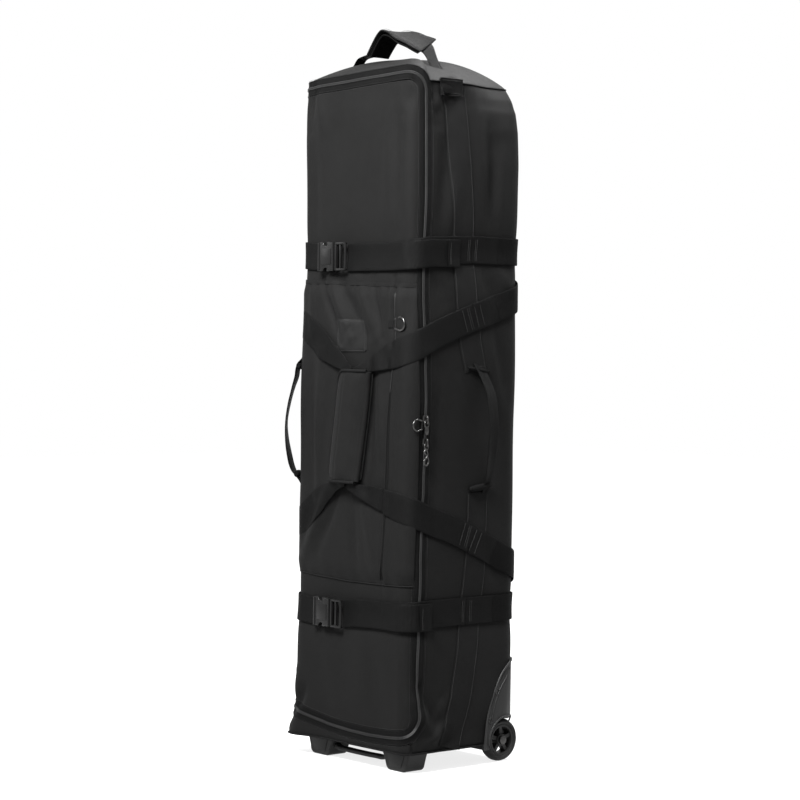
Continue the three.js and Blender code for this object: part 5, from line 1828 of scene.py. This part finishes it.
def stage():
    """Floor, lights, sky and camera."""
    tune = bpy.context.scene.case_stage
    corners = [(FLOOR_REACH * x, FLOOR_REACH * y) for x, y in ((-1, 1), (1, 1), (1, -1), (-1, -1))]
    floor = Bench().prism(corners, -FLOOR_THICK, -FLOOR_GAP, "z", 0.0)
    made = floor.make("studio_floor", pale_floor("pale_sweep", tune.floor_level), smooth=False)
    world = bpy.data.worlds.new("pale_sky")
    world.use_nodes = True
    sky = world.node_tree.nodes["Background"]
    sky.inputs[0].default_value = (1.0, 1.0, 1.0, 1.0)
    sky.inputs[1].default_value = tune.sky
    scene = bpy.context.scene
    scene.world = world
    scene.view_settings.view_transform = "Standard"
    for name, place, aim, size, share in LAMPS:
        lamp(name, place, aim, size, tune.key * share)
    data = bpy.data.cameras.new("camera")
    data.lens = LENS
    data.sensor_width = SENSOR
    camera = bpy.data.objects.new("camera", data)
    bpy.context.collection.objects.link(camera)
    swing, dip, roll = (math.radians(angle) for angle in (VIEW_SWING, VIEW_DIP, VIEW_ROLL))
    level = Vector((-math.sin(swing), math.cos(swing), 0.0))
    side = Vector((math.cos(swing), math.sin(swing), 0.0))
    up = Vector((0.0, 0.0, 1.0))
    ahead = level * math.cos(dip) - up * math.sin(dip)
    above = up * math.cos(dip) + level * math.sin(dip)
    x_axis = side * math.cos(roll) + above * math.sin(roll)
    y_axis = above * math.cos(roll) - side * math.sin(roll)
    turn = Matrix((x_axis, y_axis, -ahead)).transposed()
    camera.matrix_world = Matrix.Translation(VIEW_PLACE) @ turn.to_4x4()
    data.clip_end = VIEW_REACH
    scene.camera = camera


# ---- Add-on ----


class CaseLooks(bpy.types.PropertyGroup):
    """Finishes a user may change."""

    cloth_level: bpy.props.FloatProperty(
        name="Cloth", description="Lightness of the black cloth", default=0.0025, min=0.001, max=0.8
    )
    web_level: bpy.props.FloatProperty(
        name="Webbing", description="Lightness of the webbing", default=0.0016, min=0.001, max=0.8
    )


class CaseStage(bpy.types.PropertyGroup):
    """Light on the case."""

    floor_level: bpy.props.FloatProperty(
        name="Floor", description="Light of the floor itself", default=0.8, min=0.0, max=1.0
    )
    sky: bpy.props.FloatProperty(
        name="Sky", description="Strength of the light from all round", default=1.0, min=0.0
    )
    key: bpy.props.FloatProperty(
        name="Key light", description="Power of the main soft box", default=600.0, min=0.0, unit="POWER"
    )


class CASE_OT_walls(bpy.types.Operator):
    """Side and back panels of the body."""

    bl_idname = "travel_case.walls"
    bl_label = "Side and back cloth"

    def execute(self, context):
        walls()
        return {"FINISHED"}


class CASE_OT_top(bpy.types.Operator):
    """Domed top panel with its piping."""

    bl_idname = "travel_case.top"
    bl_label = "Domed top"

    def execute(self, context):
        top()
        return {"FINISHED"}


class CASE_OT_base(bpy.types.Operator):
    """Skirt under the door and the bottom plate."""

    bl_idname = "travel_case.base"
    bl_label = "Skirt and bottom"

    def execute(self, context):
        base()
        return {"FINISHED"}


class CASE_OT_zip(bpy.types.Operator):
    """Both tapes of the zip, their coils and their stitching."""

    bl_idname = "travel_case.zip"
    bl_label = "Zip"

    def execute(self, context):
        zip_halves()
        return {"FINISHED"}


class CASE_OT_door(bpy.types.Operator):
    """Front door panel."""

    bl_idname = "travel_case.door"
    bl_label = "Door"

    def execute(self, context):
        door()
        return {"FINISHED"}


class CASE_OT_pocket(bpy.types.Operator):
    """Large front pocket, its top lip and the pleat with the zip."""

    bl_idname = "travel_case.pocket"
    bl_label = "Front pocket"

    def execute(self, context):
        pocket()
        return {"FINISHED"}


class CASE_OT_patch(bpy.types.Operator):
    """Blank pressed patch with its stitched border."""

    bl_idname = "travel_case.patch"
    bl_label = "Blank patch"

    def execute(self, context):
        patch()
        return {"FINISHED"}


class CASE_OT_straps(bpy.types.Operator):
    """Both compression straps without their buckles."""

    bl_idname = "travel_case.straps"
    bl_label = "Compression straps"

    def execute(self, context):
        straps()
        return {"FINISHED"}


class CASE_OT_buckles(bpy.types.Operator):
    """Side release buckles with their ladder ends."""

    bl_idname = "travel_case.buckles"
    bl_label = "Buckles"

    def execute(self, context):
        buckles()
        return {"FINISHED"}


class CASE_OT_loops(bpy.types.Operator):
    """Carry loops from the sides to the grip."""

    bl_idname = "travel_case.loops"
    bl_label = "Carry loops"

    def execute(self, context):
        loops()
        return {"FINISHED"}


class CASE_OT_grip(bpy.types.Operator):
    """Padded wrap that holds the two carry loops together."""

    bl_idname = "travel_case.grip"
    bl_label = "Grip wrap"

    def execute(self, context):
        grip()
        return {"FINISHED"}


class CASE_OT_bands(bpy.types.Operator):
    """Webbing bands down both sides."""

    bl_idname = "travel_case.bands"
    bl_label = "Side bands"

    def execute(self, context):
        side_bands()
        return {"FINISHED"}


class CASE_OT_side_handles(bpy.types.Operator):
    """Webbing grab handles: one on the side and one on the corner by the hinge."""

    bl_idname = "travel_case.side_handles"
    bl_label = "Side handles"

    def execute(self, context):
        side_handles()
        return {"FINISHED"}


class CASE_OT_top_handle(bpy.types.Operator):
    """Top carry handle: webbing, its sewn tabs and the padded wrap."""

    bl_idname = "travel_case.top_handle"
    bl_label = "Top handle"

    def execute(self, context):
        top_handle()
        return {"FINISHED"}


class CASE_OT_hardware(bpy.types.Operator):
    """Sliders, pulls and both D-rings with their tabs."""

    bl_idname = "travel_case.hardware"
    bl_label = "Sliders and rings"

    def execute(self, context):
        zip_hardware()
        return {"FINISHED"}


class CASE_OT_running_gear(bpy.types.Operator):
    """Wheels, their housings with raised rims, and the screws."""

    bl_idname = "travel_case.running_gear"
    bl_label = "Wheels and housings"

    def execute(self, context):
        running_gear()
        return {"FINISHED"}


class CASE_OT_feet(bpy.types.Operator):
    """Front feet and the grab bar between them."""

    bl_idname = "travel_case.feet"
    bl_label = "Feet and grab bar"

    def execute(self, context):
        feet()
        return {"FINISHED"}


class CASE_OT_inside(bpy.types.Operator):
    """Stiffening board and the head pad behind the door."""

    bl_idname = "travel_case.inside"
    bl_label = "Board and head pad"

    def execute(self, context):
        inside()
        return {"FINISHED"}


class CASE_OT_stage(bpy.types.Operator):
    """Floor, lights, sky and camera."""

    bl_idname = "travel_case.stage"
    bl_label = "Floor, light and camera"

    def execute(self, context):
        stage()
        return {"FINISHED"}


OPERATORS = (
    CASE_OT_walls,
    CASE_OT_top,
    CASE_OT_base,
    CASE_OT_zip,
    CASE_OT_door,
    CASE_OT_pocket,
    CASE_OT_patch,
    CASE_OT_straps,
    CASE_OT_buckles,
    CASE_OT_loops,
    CASE_OT_grip,
    CASE_OT_bands,
    CASE_OT_side_handles,
    CASE_OT_top_handle,
    CASE_OT_hardware,
    CASE_OT_running_gear,
    CASE_OT_feet,
    CASE_OT_inside,
    CASE_OT_stage,
)


class CASE_PT_pieces(bpy.types.Panel):
    """Lists the pieces of the case."""

    bl_label = "Travel case"
    bl_idname = "CASE_PT_pieces"
    bl_space_type = "VIEW_3D"
    bl_region_type = "UI"
    bl_category = "Travel Case"

    def draw(self, context):
        column = self.layout.column()
        for group in (context.scene.case_looks, context.scene.case_stage):
            for name in group.__annotations__:
                column.prop(group, name)
        for operator in OPERATORS:
            column.operator(operator.bl_idname)


CLASSES = (CaseLooks, CaseStage, *OPERATORS, CASE_PT_pieces)


def register():
    """Adds the classes and the settings to Blender."""
    for cls in CLASSES:
        bpy.utils.register_class(cls)
    bpy.types.Scene.case_looks = bpy.props.PointerProperty(type=CaseLooks)
    bpy.types.Scene.case_stage = bpy.props.PointerProperty(type=CaseStage)


def unregister():
    """Takes them out again."""
    del bpy.types.Scene.case_stage
    del bpy.types.Scene.case_looks
    for cls in reversed(CLASSES):
        bpy.utils.unregister_class(cls)


def main():
    """Makes every piece in turn."""
    register()
    for operator in OPERATORS:
        getattr(bpy.ops.travel_case, operator.bl_idname.split(".")[1])()


if __name__ == "__main__":
    main()
